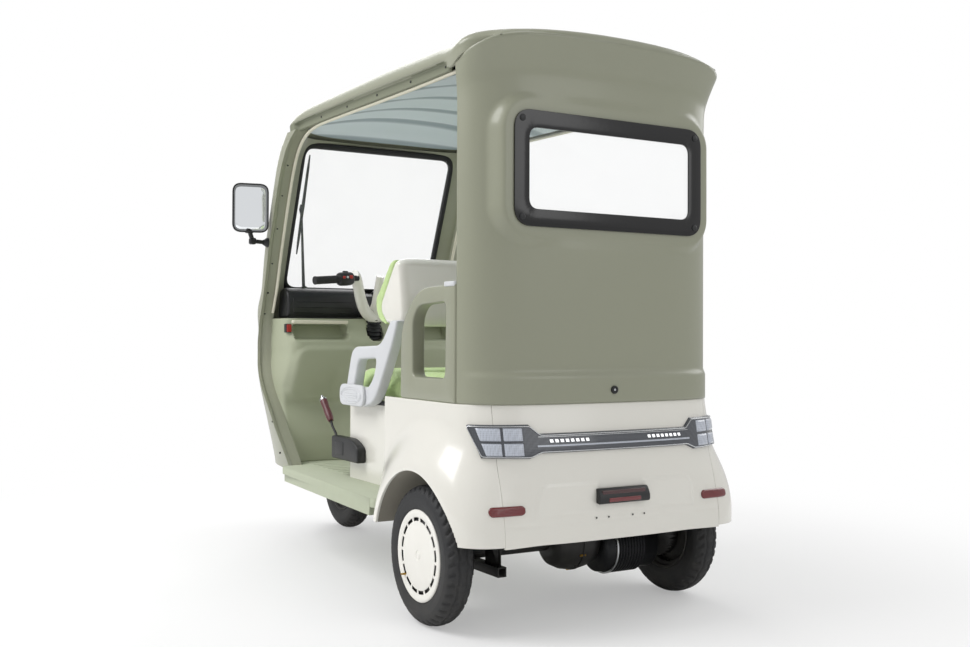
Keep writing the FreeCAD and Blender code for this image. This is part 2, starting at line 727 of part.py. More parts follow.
def rear_skirt():
    """Rear wall below the lamps, with a raised field and four holes for a number plate."""
    height = mm.waist_z - mm.seat_gap - mm.skirt_low_z
    levels = [mm.skirt_low_z + height * s for s in (0, .1, .25, .4, .55, .7, .8, .9, 1)]
    skirt = body_skin(mm.skirt_half, -mm.skirt_half, levels, 0, -mm.fender_wall, 25)
    field = body_skin(340, -340, [344, 380, 415, 458], mm.emboss, -1, 15)
    outline = [(252, 455), (322, 398), (335, 352)]
    field = field.common(rear_prism(outline + [(-x, z) for x, z in reversed(outline)], 14,
                                    mm.rear_axle_y, mm.tail_y + 60))
    skirt = skirt.fuse(field)
    holes = [tube(Vector(x, mm.back_y - 20, mm.plate_hole_z), Vector(x, mm.tail_y + 60, mm.plate_hole_z),
                  mm.plate_hole_radius) for x in (mm.plate_hole_inner, mm.plate_hole_outer)]
    return skirt.cut(both_sides(Part.makeCompound(holes)))


def arch_liners():
    """Inner wheel housings behind the fenders."""
    low_x, high_x = mm.liner_x, mm.half_cabin + mm.fender_flare
    outer = wheel_arch(mm.arch_radius + 5, low_x, high_x)
    inner = wheel_arch(mm.arch_radius, low_x + 4, high_x + 4)
    below = box(low_x - 1, high_x + 1, mm.rear_axle_y - 400, mm.rear_axle_y + 400, -200, mm.fender_low_z)
    beyond = body_skin(None, low_x - 4, fender_levels(), 90, -mm.fender_wall - 0.8, 41)
    slot = box(low_x - 1, low_x + 5, mm.rear_axle_y - 60, mm.rear_axle_y + 60, 0, mm.fender_low_z + 60)
    return both_sides(outer.cut(inner).cut(below).cut(beyond).cut(slot))


def tail_light_bar():
    """Narrow bar across the back that widens into a slant-ended cluster round each corner."""
    levels = [mm.cluster_low, 556, 581, 606, mm.cluster_high]
    band = body_skin(mm.lamp_outer, -mm.lamp_outer, levels, mm.lamp_bar_out, 0.8, 49)
    neck = mm.lamp_neck
    low = [(neck - 44, mm.lamp_bar_low), (neck - 16, mm.cluster_low - 3)]
    high = [(neck + 4, mm.cluster_high + 3), (neck - 36, mm.lamp_bar_high)]
    waist = []
    for edge, far in ((low, mm.cluster_low - 20), (high[::-1], mm.cluster_high + 20)):
        (x0, z0), (x1, z1) = edge
        outline = [(x0, z0), (x1, z1), (x1, far), (-x1, far), (-x1, z1), (-x0, z0)]
        waist.append(rear_prism(outline, [6, 0, 0, 0, 0, 6], mm.rear_axle_y, mm.tail_y + 60))
    seam = mm.back_seam_y
    ends = side_prism([(seam - 40, 500), (seam + 92, 500), (seam + 98, mm.cluster_low), (seam + 56, 604),
                       (seam + 76, mm.cluster_high + 3), (seam + 76, 680), (seam - 40, 680)],
                      [0, 0, 0, 8, 0, 0, 0], mm.half_cabin - 60, mm.half_cabin + 60)
    return band.cut(Part.makeCompound(waist)).cut(both_sides(ends))


def tail_lamp_lenses():
    """Four clear cells in each cluster."""
    neck, outer = mm.lamp_neck, mm.lamp_outer
    middle = (mm.cluster_low + mm.cluster_high) / 2
    cells = []
    for low, high in ((mm.cluster_low + 7.5, middle - 3.5), (middle + 2.5, mm.cluster_high - 7.5)):
        for inner, far in ((neck + 12, neck + 76), (neck + 82, outer - 33)):
            cells.append(body_skin(far, inner, [low, (low + high) / 2, high], mm.lamp_bar_out + 4,
                                   mm.lamp_bar_out + 0.4, 9))
    return both_sides(Part.makeCompound(cells))


def plate_lamp():
    """Housing over the number plate's place, with a slanting face above its lens block."""
    back = at_x(body_outline(mm.plate_lamp_high, 0), 0).y + 0.6
    low, high = mm.plate_lamp_low, mm.plate_lamp_high
    profile = [(back + 3, low), (back + 3, high), (back + 12, high - 3), (back + 17, high - 24),
               (back + 26, high - 27), (back + 26, low + 4), (back + 22, low)]
    block = side_prism(profile, [1, 1, 4, 3, 4, 4, 2], -mm.plate_lamp_half, mm.plate_lamp_half)
    return block


def rear_reflectors():
    pills = []
    for side in (1, -1):
        x = side * mm.reflector_x
        spot = at_x(body_outline(mm.reflector_z, -0.6), x)
        outline = body_outline(mm.reflector_z, 0)
        run = at_x(outline, x - 30) - at_x(outline, x + 30)
        pill = prism([Vector(-54, 0, -15), Vector(54, 0, -15), Vector(54, 0, 15), Vector(-54, 0, 15)],
                     14.5, Vector(0, 7, 0))
        turn = math.degrees(math.atan2(-run.y, -run.x))
        pill.Placement = Placement(spot, Rotation(Vector(0, 0, 1), turn))
        pills.append(pill)
    return Part.makeCompound(pills).cut(rear_skirt()).cut(rear_fenders())


# Floor
def floor_pan():
    """Ribbed floor between the front panel and the rear body, with a sill along each side."""
    top, rear = mm.floor_z, mm.fender_front_y - 1
    outline = [(mm.floor_front_half, mm.floor_front_y), (mm.sill_front_half, mm.sill_front_y),
               (mm.sill_rear_half, rear), (mm.seat_half + 30, rear), (mm.seat_half + 30, mm.frame_rear_y + 40)]
    corners = [Vector(x, y, top) for x, y in outline]
    corners += [Vector(-x, y, top) for x, y in reversed(outline)]
    slab = prism(corners, [60, 40, 30, 0, 20, 20, 0, 30, 40, 60], Vector(0, 0, -mm.floor_thickness))
    sills = []
    for side in (1, -1):
        run = [Vector(side * mm.sill_front_half, mm.sill_front_y + 30, top - 1),
               Vector(side * mm.sill_rear_half, rear - 37, top - 1),
               Vector(side * (mm.sill_rear_half - mm.sill_width), rear - 37, top - 1),
               Vector(side * (mm.sill_front_half - mm.sill_width), mm.sill_front_y + 30, top - 1)]
        sills.append(Part.Face(Part.makePolygon(run + [run[0]])).extrude(Vector(0, 0, 1 - mm.sill_height)))
    ribs = []
    for i in range(int(mm.floor_ribs)):
        y = mm.floor_front_y + 90 + i * mm.floor_rib_pitch
        ribs.append(box(20 - mm.floor_front_half, mm.floor_front_half - 20, y, y + mm.floor_rib_width,
                        top - 1, top + mm.floor_rib_height))
    return slab.fuse(sills + ribs).removeSplitter().cut(front_panel()).cut(chassis_frame())


def leg_shield():
    """Inner front wall with a knee bulge and a shelf slot on each side of the column."""
    profile = [(mm.floor_z + 4, 489), (400, 489), (460, 482), (520, 464), (585, 438), (625, 440), (680, 475),
               (735, 515), (790, 539), (845, 552), (880, 543), (915, 514), (962, 503)]

    def rows(shift):
        grid = []
        for z, setback in profile:
            half = min(inner_outline(z)[0].x - 4, mm.half_cabin - 73)
            row = []
            for share in spread(1, -1, 17):
                tunnel = 62 * (1 - smooth(abs(share * half), 40, 190)) * (1 - smooth(z, 690, 810))
                row.append(Vector(share * half, mm.nose_y + setback + tunnel - shift, z))
            grid.append(row)
        return grid
    column = tube(steering_point(800), steering_point(1000), mm.stem_radius + 8)
    low, high = mm.shelf_low, mm.shelf_low + mm.shelf_height
    shelf = rear_prism([(mm.shelf_inner, low), (mm.shelf_inner + mm.shelf_length, low),
                        (mm.shelf_inner + mm.shelf_length, high), (mm.shelf_inner, high)], 14,
                       mm.nose_y + 430, mm.nose_y + 600)
    return skin(rows(0), rows(mm.shield_wall)).cut(column).cut(both_sides(shelf)).cut(front_panel())


def dashboard():
    """Black shelf under the windscreen, with a tray on the right and room for the steering column."""
    rear = mm.nose_y + 459
    profile = [(screen_y(1010) + 55, 968), (rear, 968), (rear + 12, 1010), (rear, 1080), (rear - 54, 1102),
               (screen_y(1085) + 42, 1085)]
    half = mm.half_cabin - 89
    block = side_prism(profile, [10, 14, 40, 25, 30, 10], -half, half)
    tray = prism([Vector(-270, rear - 84, 1074), Vector(-60, rear - 84, 1074), Vector(-60, rear - 9, 1074),
                  Vector(-270, rear - 9, 1074)], 20, Vector(0, 0, 60))
    opening = tube(steering_point(920), steering_point(1160), 40)
    return block.cut(tray).cut(opening).cut(front_panel())


# Windscreen
def windscreen_gasket():
    ring = screen_slab(mm.gasket_width - mm.seat_gap, 10, mm.gasket_depth)
    ring = ring.cut(screen_slab(-2, 20, mm.gasket_depth + 30))
    return ring.cut(windscreen_glass())


def windscreen_glass():
    return screen_slab(mm.glass_edge, 0, mm.glass_thickness)


def wiper():
    """Blade, holder and arm in front of the screen."""
    def on_screen(x, z, off):
        return Vector(x, screen_y(z) - off, z)
    foot, joint = mm.screen_half - 92, mm.screen_half - 116
    arm = tube(on_screen(foot, 1070, 24), on_screen(joint, 1400, 24), 5)
    blade = tube(on_screen(foot - 12, 1205, 9), on_screen(joint - 10, 1610, 9), 6)
    pivot = tube(on_screen(foot, 1070, 32), on_screen(foot, 1070, 8.5), 13)
    holder = tube(on_screen(joint, 1400, 26), on_screen(joint, 1400, 8), 9)
    return arm.fuse([blade, pivot, holder]).cut(front_panel())


def door_trims():
    """Cream bead along the inner edge of the opening's band."""
    depth, width = mm.trim_depth, mm.trim_width

    def rows(inset):
        grid = []
        for z in (1010, 1110, 1220, 1400, 1540, 1610):
            corner = inner_outline(z)[0] + Vector(-1.6 - inset, -2, 0)
            grid.append([corner, corner + Vector(0, -depth / 2, 0), corner + Vector(0, -depth, 0)])
        return grid
    return both_sides(skin(rows(0), rows(width)).cut(front_panel()))


# Outside mirrors
def mirror_plate(grow, low, high):
    half_w, half_h = mm.mirror_half_width + grow, mm.mirror_half_height + grow
    corners = [Vector(-half_w, low, -half_h), Vector(half_w, low, -half_h), Vector(half_w, low, half_h),
               Vector(-half_w, low, half_h)]
    plate = prism(corners, 38 + grow, Vector(0, high - low, 0))
    plate.Placement = Placement(Vector(mm.mirror_x, mm.mirror_y, mm.mirror_z), Rotation(Vector(0, 0, 1), -10))
    return plate


def mirror_housings():
    centre = Vector(mm.mirror_x, mm.mirror_y, mm.mirror_z)
    shell = mirror_plate(0, -mm.mirror_depth, 0)
    shell = shell.cut(mirror_plate(-6, -8, 1))
    foot = Vector(mm.half_cabin + 2, mm.mirror_y - 32, mm.mirror_z - 141)
    elbow = Vector(mm.half_cabin + 70, mm.mirror_y - 28, mm.mirror_z - 138)
    flange = tube(foot, foot + Vector(14, 0, 0), 20)
    arm = tube(foot + Vector(10, 0, 0), elbow, 9)
    post = tube(elbow, centre + Vector(0, -16, -96), 9)
    knuckle = Part.makeSphere(13, elbow)
    return both_sides(shell.fuse([flange, arm, post, knuckle]).cut(front_panel()))


def mirror_glasses():
    return both_sides(mirror_plate(-6.3, -7.7, -4))


# Front lamps
def headlamps():
    lamps = []
    for x, z, radius in ((mm.half_cabin - 225, 700, 78), (mm.half_cabin - 145, 560, 26)):
        half, centre, depth, power = front_section(z)
        y = centre - depth * (1 - (x / half) ** power) ** (1 / power)
        direction = Vector(0.42, -1, 0).normalize()
        start = Vector(x, y, z) - direction * 2
        lamps.append(tube(start - direction * 20, start + direction * 12, radius))
    return both_sides(Part.makeCompound(lamps))


# Seat
def seat_base():
    """Hollow plinth between floor and cushion."""
    half, low, top = mm.seat_half, mm.floor_z, mm.seat_top_z
    front, rear = mm.seat_front_y, mm.frame_rear_y - 300
    outer = prism([Vector(half, front, low), Vector(half, rear, low), Vector(-half, rear, low),
                   Vector(-half, front, low)], [50, 10, 10, 50], Vector(0, 0, top - low))
    wall = mm.seat_wall
    inner = prism([Vector(half - wall, front + wall, low - 1), Vector(half - wall, rear - wall, low - 1),
                   Vector(wall - half, rear - wall, low - 1), Vector(wall - half, front + wall, low - 1)],
                  [50 - wall, 5, 5, 50 - wall], Vector(0, 0, top - low - wall + 1))
    return outer.cut(inner)


def battery_pack():
    block = doc.addObject("Part::Box", "battery_pack")
    bind(block, Length=cell.battery_width, Width=cell.battery_length, Height=cell.battery_height)
    place(block, cell.battery_width / -2, cell.seat_front_y + 60, cell.floor_z)
    return sub_part(block, "battery_pack")


def seat_cushions():
    low, high = mm.seat_top_z, mm.seat_top_z + mm.cushion_thickness
    first = mm.seat_front_y + 8
    front = soft_box(-mm.cushion_half, mm.cushion_half, first, first + mm.cushion_length, low, high, 30)
    second = first + mm.cushion_length + mm.cushion_gap
    rear = soft_box(-mm.cushion_half, mm.cushion_half, second, second + mm.rear_cushion_length, low, high, 30)
    return Part.makeCompound([front, rear])


def backrest_block(profile, radii, half, rounding):
    """A side profile, behind the seat's front edge, across the seat, with its two ends rounded over."""
    front = mm.seat_front_y
    block = side_prism([(front + y, z) for y, z in profile], radii, -half, half)
    ends = [e for e in block.Edges if abs(abs(e.CenterOfMass.x) - half) < 0.1]
    return block.makeFillet(rounding, ends)


def seat_backrest():
    """Moulded shell behind the pad, deep at its foot and thin at its top."""
    profile = [(384, 925), (531, 923), (526, 1010), (500, 1160), (455, 1167), (400, 1100), (332, 1012), (334, 970)]
    return backrest_block(profile, [16, 26, 60, 20, 22, 60, 30, 30], mm.backrest_half, 14)


def backrest_pad():
    """Thick pad on the shell's slanting front."""
    gap = mm.seat_gap
    profile = [(383 - gap, 928), (334 - gap, 970), (332 - gap, 1012), (400 - gap, 1100), (452 - gap, 1164),
               (412, 1158), (345, 1098), (280, 1030), (281, 990), (312, 945)]
    return backrest_block(profile, [8, 30, 30, 60, 6, 16, 60, 34, 30, 24], mm.backrest_half - 4, 6).cut(
        seat_backrest())


def handrails():
    """Side frames that carry the backrest, each with a grab loop and an oval end cap."""
    low_x = mm.seat_half + mm.seat_gap
    high_x = low_x + mm.handrail_width
    front = mm.seat_front_y
    outline = [(75, 632), (103, 720), (150, 848), (400, 856), (480, 944), (537, 944), (497, 865),
               (407, 730), (345, 650), (265, 628)]
    frame = side_prism([(front + y, z) for y, z in outline], [20, 60, 45, 50, 10, 10, 60, 60, 40, 20],
                       low_x, high_x)
    hole = [(167, 700), (206, 802), (367, 809), (345, 745), (295, 700)]
    frame = frame.cut(side_prism([(front + y, z) for y, z in hole], [14, 22, 24, 30, 30],
                                 low_x - 1, high_x + 1))
    cap = side_prism([(front + 60, 628), (front + 60, 708), (front + 280, 708), (front + 280, 628)], 36,
                     high_x - 1, high_x + 12)
    return both_sides(frame.fuse(cap).cut(seat_backrest()).cut(backrest_pad()))


def hand_brake():
    """Bracket on the seat base's left side, with its lever and grip."""
    x, front = mm.seat_half + mm.seat_gap, mm.seat_front_y
    bracket = side_prism([(front - 60, 412), (front + 190, 412), (front + 190, 470), (front + 120, 500),
                          (front - 60, 500)], [10, 10, 20, 30, 12], x, x + 36)
    rod_foot = Vector(x + 18, front - 42, 485)
    rod_top = Vector(x + 18, front - 108, 552)
    knob = Vector(x + 18, front - 198, 640)
    rod = tube(rod_foot, rod_top, 5)
    grip = tube(rod_top, knob, 15)
    button = tube(knob, knob + (knob - rod_top).normalize() * 12, 7)
    return bracket.cut(box(0, x, front - 61, front, 400, 510)).fuse([rod, grip, button])


# Frame, rear axle and motor
def square_stub():
    """Square tube under the left of the frame, open to the rear."""
    half, low, wall = mm.square_tube / 2, mm.square_low, mm.square_wall
    x, y = mm.stub_x, mm.rear_axle_y
    outer = box(x - half, x + half, y - 60, y + 140, low, low + 2 * half)
    inner = box(x - half + wall, x + half - wall, y - 20, y + 141, low + wall, low + 2 * half - wall)
    return outer.cut(inner)


def chassis_frame():
    """Ladder of square tubes with the head tube's neck at the front and the tow socket at the rear."""
    size, half = mm.frame_tube, mm.frame_half
    top, low = mm.frame_top, mm.frame_low
    front, rear = mm.floor_front_y + 10, mm.frame_rear_y
    pieces = []
    for middle in (half, -half):
        pieces.append(box(middle - size / 2, middle + size / 2, front, rear, low, top))
    for y, reach in ((front, half), (front + 200, mm.sill_front_half - 40), (mm.seat_front_y + 45, half + 160),
                     (mm.seat_front_y + 445, half + 160), (mm.rear_axle_y - 180, mm.half_cabin - 87),
                     (rear - size, half + 120)):
        pieces.append(box(-reach, reach, y, y + size, low, top))
    head_low = steering_point(mm.head_tube_low)
    head_high = head_low + steering_axis * mm.head_tube_length
    head = tube(head_low, head_high, mm.head_tube_radius)
    foot, knee = Vector(0, front + 14, top - 8), Vector(0, mm.front_axle_y + 216, 520)
    join = steering_point(mm.head_tube_low + 92) + Vector(0, 12, 0)
    pieces += [tube(foot, knee, 18), Part.makeSphere(18, knee), tube(knee, join, 18)]
    for x in (mm.stub_x, -mm.stub_x):
        pieces.append(box(x - size / 2, x + size / 2, mm.rear_axle_y - 165, rear, low, top))
    pieces.append(box(mm.stub_x - 5, mm.stub_x + 5, mm.rear_axle_y + 45, mm.rear_axle_y + 125,
                      mm.square_low + 18, low + 5))
    pieces.append(square_stub())
    frame = pieces[0].fuse(pieces[1:] + [head])
    return frame.cut(tube(head_low - steering_axis * 60, head_high + steering_axis * 60, mm.stem_radius + 3))


def rear_axle():
    """Axle tube, differential, brake drums and stub axles as one turned section."""
    stub, bore, tube_r = cell.drum_outer + cell.stub_length, cell.axle_radius, cell.axle_tube_radius
    reach, drum, drum_r = cell.drum_outer, cell.drum_outer - cell.drum_width, cell.drum_radius
    diff, half, bulge = cell.diff_x, cell.diff_width / 2, cell.diff_radius
    outline = [(-1 * stub, 0), (-1 * stub, bore), (-1 * reach, bore), (-1 * reach, drum_r),
               (-1 * drum, drum_r), (-1 * drum, tube_r), (diff - half, tube_r)]
    outline += [(diff + half * run, bulge * rise) for run, rise in
                ((-0.96, 0.55), (-0.78, 0.8), (-0.45, 0.95), (-0.15, 1), (0.15, 1), (0.45, 0.95), (0.78, 0.8),
                 (0.96, 0.55))]
    outline += [(diff + half, tube_r), (drum, tube_r), (drum, drum_r), (reach, drum_r), (reach, bore),
                (stub, bore), (stub, 0)]
    return revolved("rear_axle", outline, (0, cell.rear_axle_y, cell.wheel_z))


def drive_motor():
    """Finned motor beside the differential, on the vehicle's right."""
    start = Vector(-mm.motor_start, mm.rear_axle_y + 18, mm.wheel_z - 28)
    end = Vector(-mm.motor_end, start.y, start.z)
    along = Vector(-1, 0, 0)
    body = tube(start, end, mm.motor_radius - 8)
    fins = []
    for i in range(int(mm.motor_fins)):
        fin = start + along * (mm.motor_fin_start + i * mm.motor_fin_pitch)
        fins.append(tube(fin, fin + along * 4, mm.motor_radius))
    bore = tube(Vector(-mm.motor_start + 40, mm.rear_axle_y, mm.wheel_z),
                Vector(-mm.motor_end - 60, mm.rear_axle_y, mm.wheel_z), mm.axle_tube_radius + mm.seat_gap)
    return body.fuse(fins).cut(bore)


def rear_springs():
    """Trailing arm, axle seat and coil damper on each side."""
    x, y, arm_z, half = mm.spring_x, mm.rear_axle_y, mm.arm_z, mm.arm_half
    foot = Vector(x, y - 96, arm_z + 18)
    damper = tube(foot, Vector(x, y - 156, mm.frame_low - 10), mm.spring_radius)
    arm = box(x - half, x + half, y - 200, y + 50, arm_z - 12, arm_z + 12)
    pad = box(x - half - 7, x + half + 7, y - 40, y + 40, arm_z, mm.wheel_z - 12)
    hanger = box(x - half, x + half, y - 180, y - 162, arm_z, mm.frame_low - mm.seat_gap)
    axle = tube(Vector(0, y, mm.wheel_z), Vector(x + 60, y, mm.wheel_z), mm.axle_tube_radius + mm.seat_gap)
    return both_sides(damper.fuse([arm, pad, hanger]).cut(axle))


# Wheels: each turned about its own axle
def revolved(label, outline, centre):
    """A body turned about X through a centre, from an outline of (along the axle, radius)."""
    body = doc.addObject("PartDesign::Body", label)
    plane = next(f for f in body.Origin.OriginFeatures if f.Role == "XY_Plane")
    sketch = body.newObject("Sketcher::SketchObject", label + "_section")
    sketch.AttachmentSupport = [(plane, "")]
    sketch.MapMode = "FlatFace"
    draw(sketch, outline)
    turn = body.newObject("PartDesign::Revolution", label + "_turn")
    turn.Profile = sketch
    turn.ReferenceAxis = (sketch, ["H_Axis"])
    turn.Angle = 360
    place(body, *centre)
    doc.recompute()
    return sub_part(body, label)


def draw(sketch, outline):
    """A closed polygon whose corners are bound to the sheet."""
    count = len(outline)
    for i, (a, b) in enumerate(outline):
        c, d = outline[(i + 1) % count]
        sketch.addGeometry(Part.LineSegment(Vector(float(a), float(b), 0), Vector(float(c), float(d), 0)))
    for i in range(count):
        sketch.addConstraint(Sketcher.Constraint("Coincident", i, 2, (i + 1) % count, 1))
    for i, (a, b) in enumerate(outline):
        for kind, number in (("DistanceX", a), ("DistanceY", b)):
            index = sketch.addConstraint(Sketcher.Constraint(kind, -1, 1, i, 1, float(number)))
            if isinstance(number, Size):
                sketch.setExpression(f"Constraints[{index}]", number.text)


def tyre(label, centre):
    half, outer, wall = cell.tyre_width / 2, cell.tyre_diameter / 2, cell.tyre_wall
    bead, rim_edge = cell.rim_width / 2, cell.rim_diameter / 2 - 14
    outline = [(-1 * bead, rim_edge), (-1 * half, outer - 44), (6 - half, outer - 17), (-0.22 * half, outer),
               (0.22 * half, outer), (half - 6, outer - 17), (half, outer - 44), (bead, rim_edge),
               (half - 20, outer - wall), (20 - half, outer - wall)]
    return revolved(label, outline, centre)


def rim(label, centre):
    bead, radius = cell.rim_width / 2, cell.rim_diameter / 2 - 14.3
    hub, bore = cell.hub_radius, cell.axle_radius + 0.5
    outline = [(-1 * bead, bore), (bead, bore), (bead, hub), (10, hub), (10, radius - 26), (bead - 4, radius - 9),
               (bead, radius), (bead - 14, radius - 8), (14 - bead, radius - 8), (-1 * bead, radius),
               (4 - bead, radius - 9), (-4, radius - 26), (-4, hub), (-1 * bead, hub)]
    return revolved(label, outline, centre)


def wheel_cap(centre, side):
    """Slotted disc with a small boss over the rim's outer face."""
    start = Vector(*[float(v) for v in centre]) + Vector(side * (mm.rim_width / 2 + mm.seat_gap), 0, 0)
    along = Vector(side, 0, 0)
    thick = mm.cap_thickness
    disc = tube(start, start + along * thick, mm.cap_diameter / 2)
    rim_edge = [e for e in disc.Edges if e.Closed and abs(e.CenterOfMass.x - start.x - side * thick) < 0.1]
    disc = disc.makeFillet(2.5, rim_edge[:1])
    disc = disc.fuse(tube(start, start + along * (thick + 1.5), mm.cap_boss_radius))
    slots = []
    for i in range(int(mm.cap_slots)):
        slot = box(-20, 20, mm.cap_slot_radius - mm.cap_slot_width / 2, mm.cap_slot_radius + mm.cap_slot_width / 2,
                   -mm.cap_slot_length / 2, mm.cap_slot_length / 2)
        slot.Placement = Placement(start, Rotation(Vector(1, 0, 0), i * 360 / int(mm.cap_slots)))
        slots.append(slot)
    return disc.cut(Part.makeCompound(slots))


# Steering
def front_fork():
    centre = steering_point(mm.wheel_z)
    crown = steering_point(mm.head_tube_low - 14)
    stem = tube(crown - steering_axis * 20, steering_point(mm.bar_z - 20), mm.stem_radius)
    plate = box(-mm.fork_half - 20, mm.fork_half + 20, -24, 24, -22, 0)
    plate.Placement = Placement(crown, Rotation(Vector(1, 0, 0), -math.degrees(rake)))
    pieces = [plate]
    for side in (1, -1):
        foot = centre + Vector(side * mm.fork_half, 0, 0)
        top = crown + Vector(side * mm.fork_half, 0, 0)
        pieces.append(tube(foot - steering_axis * 16, top - steering_axis * 2, mm.fork_leg_radius))
    reach = Vector(mm.fork_half + 24, 0, 0)
    race = tube(crown - steering_axis, steering_point(mm.head_tube_low) - steering_axis * mm.seat_gap,
                mm.head_tube_radius - 3)
    return stem.fuse(pieces + [race, tube(centre - reach, centre + reach, mm.axle_radius)])


def handlebar():
    """Risers from the stem's clamp to swept grips, each with a switch pod and a lever."""
    middle = Vector(0, steering_point(mm.bar_z).y, mm.bar_z)
    pieces = []
    for side in (1, -1):
        inner = Vector(side * 130, middle.y + 55, mm.bar_z + 8)
        outer = Vector(side * mm.bar_half, middle.y + 95, mm.bar_z - 30)
        along = (outer - inner).normalize()
        grip_start = outer - along * mm.grip_length
        pod = grip_start - along * 45
        pieces += [tube(middle, inner, mm.bar_radius + 4), Part.makeSphere(mm.bar_radius + 4, inner),
                   tube(inner, outer, mm.bar_radius), tube(grip_start, outer, mm.grip_radius),
                   tube(pod, grip_start, mm.grip_radius + 8)]
        pivot = pod + along * 20 + Vector(0, -30, -2)
        pieces.append(tube(pod + along * 20, pivot, 8))
        pieces.append(tube(pivot, pivot + along * 130 + Vector(0, 4, 0), 5))
    stem = tube(steering_point(mm.bar_z - 60), steering_point(mm.bar_z + 8), mm.stem_radius + 8)
    return stem.fuse(pieces).cut(front_fork())


def build_parts():
    for make in (chassis_frame, floor_pan, leg_shield, front_panel, roof_panel, roof_lining, rear_panel,
                 quarter_panels, rear_fenders, rear_skirt, arch_liners, seat_base, seat_cushions, seat_backrest,
                 backrest_pad, handrails, hand_brake, dashboard, windscreen_glass, windscreen_gasket,
                 rear_window_frame, rear_window_glass, door_trims, mirror_housings, mirror_glasses, wiper,
                 headlamps, tail_light_bar, tail_lamp_lenses, plate_lamp, rear_reflectors, drive_motor,
                 rear_springs, front_fork, handlebar):
        shaped(make.__name__, make())
    battery_pack()
    rear_axle()
    front_wheel = (0, cell.front_axle_y, cell.wheel_z)
    tyre("front_tyre", front_wheel)
    rim("front_rim", front_wheel)
    for name, side in (("left", 1), ("right", -1)):
        centre = (side * cell.half_track, cell.rear_axle_y, cell.wheel_z)
        tyre(f"rear_{name}_tyre", centre)
        rim(f"rear_{name}_rim", centre)
        shaped(f"rear_{name}_cap", wheel_cap(centre, side))


build_parts()
doc.recompute()
failed = [o.Label for o in doc.Objects if "Invalid" in o.State or "Error" in o.State]
bad = [name for name, part in parts.items() if part.Shape.isNull() or not part.Shape.isValid()]
print("failed", failed, "bad", bad)
os.makedirs("parts", exist_ok=True)
for name, part in parts.items():
    part.Shape.exportStep(f"parts/{name}.step")
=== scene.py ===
# Electric auto rickshaw in a plain studio, seen from behind its left rear corner.
# Metres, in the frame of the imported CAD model: +X is the vehicle's left, +Y its rear and +Z up.
import json
import math

import bmesh
import bpy
import numpy as np
from mathutils import Matrix, Vector

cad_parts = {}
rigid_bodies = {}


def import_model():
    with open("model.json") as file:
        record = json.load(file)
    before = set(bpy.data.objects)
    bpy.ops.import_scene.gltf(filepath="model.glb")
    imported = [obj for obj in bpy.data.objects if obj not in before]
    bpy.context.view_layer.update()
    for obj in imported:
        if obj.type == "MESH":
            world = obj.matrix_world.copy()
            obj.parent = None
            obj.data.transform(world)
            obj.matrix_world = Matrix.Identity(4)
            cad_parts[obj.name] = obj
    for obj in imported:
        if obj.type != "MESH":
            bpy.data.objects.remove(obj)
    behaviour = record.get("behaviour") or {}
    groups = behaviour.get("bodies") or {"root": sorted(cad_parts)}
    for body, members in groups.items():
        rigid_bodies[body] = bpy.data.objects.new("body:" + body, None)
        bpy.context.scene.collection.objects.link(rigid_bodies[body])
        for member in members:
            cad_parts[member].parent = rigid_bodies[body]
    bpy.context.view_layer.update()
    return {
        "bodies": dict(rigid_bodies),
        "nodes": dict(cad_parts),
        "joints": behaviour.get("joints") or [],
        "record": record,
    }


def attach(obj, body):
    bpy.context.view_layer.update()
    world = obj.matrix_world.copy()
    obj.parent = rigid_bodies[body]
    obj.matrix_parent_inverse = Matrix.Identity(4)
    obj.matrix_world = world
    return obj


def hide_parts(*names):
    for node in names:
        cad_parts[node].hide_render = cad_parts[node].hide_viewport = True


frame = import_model()
nodes = frame["nodes"]
bodyNodes = frame["record"]["behaviour"]["bodies"]
print("frame loaded")


# Mesh tools
def smoothStep(value, low, high):
    share = np.clip((value - low) / (high - low), 0.0, 1.0)
    return share * share * (3 - 2 * share)


def along(table, position):
    # straight runs between (position, value) pairs
    table = np.array(table, float)
    return np.interp(position, table[:, 0], table[:, 1])


def pillow(share):
    # height of a quarter circle over a share of its width
    return np.sqrt(np.clip(1 - (1 - np.clip(share, 0, 1)) ** 2, 0, 1))


def fullTurn(count):
    return np.linspace(0, 2 * math.pi, count, endpoint=False)


def directions(run):
    # unit steps along a run of points
    step = np.gradient(run, axis=0)
    return step / np.linalg.norm(step, axis=1)[:, None]


def evenRun(points, count):
    # the same run of points at equal steps along its length
    steps = np.linalg.norm(np.diff(points, axis=0), axis=1)
    place = np.concatenate([[0], np.cumsum(steps)])
    want = np.linspace(0, place[-1], count)
    return np.stack([np.interp(want, place, points[:, k]) for k in range(points.shape[1])], -1)


def evenLoop(points, count):
    # a closed outline at equal steps, its first point not repeated at the end
    return evenRun(np.vstack([points, points[:1]]), count)[:-1]


def gridOf(rows, columns):
    # two parameters, each from 0 to 1, over a grid
    return np.meshgrid(np.linspace(0, 1, columns), np.linspace(0, 1, rows))


def meshPiece(name, points, faces, material, smooth=True):
    mesh = bpy.data.meshes.new(name)
    mesh.from_pydata(np.asarray(points, float).reshape(-1, 3).tolist(), [], [list(f) for f in faces])
    mesh.polygons.foreach_set("use_smooth", [smooth] * len(mesh.polygons))
    mesh.update()
    piece = bpy.data.objects.new(name, mesh)
    bpy.context.scene.collection.objects.link(piece)
    mesh.materials.append(material)
    return piece


def gridFaces(rows, columns, ringRows=False, ringColumns=False, keep=None):
    index = np.arange(rows * columns).reshape(rows, columns)
    if ringRows:
        index = np.vstack([index, index[:1]])
    if ringColumns:
        index = np.hstack([index, index[:, :1]])
    quads = np.stack([index[:-1, :-1], index[:-1, 1:], index[1:, 1:], index[1:, :-1]], -1)
    return quads[keep] if keep is not None else quads.reshape(-1, 4)


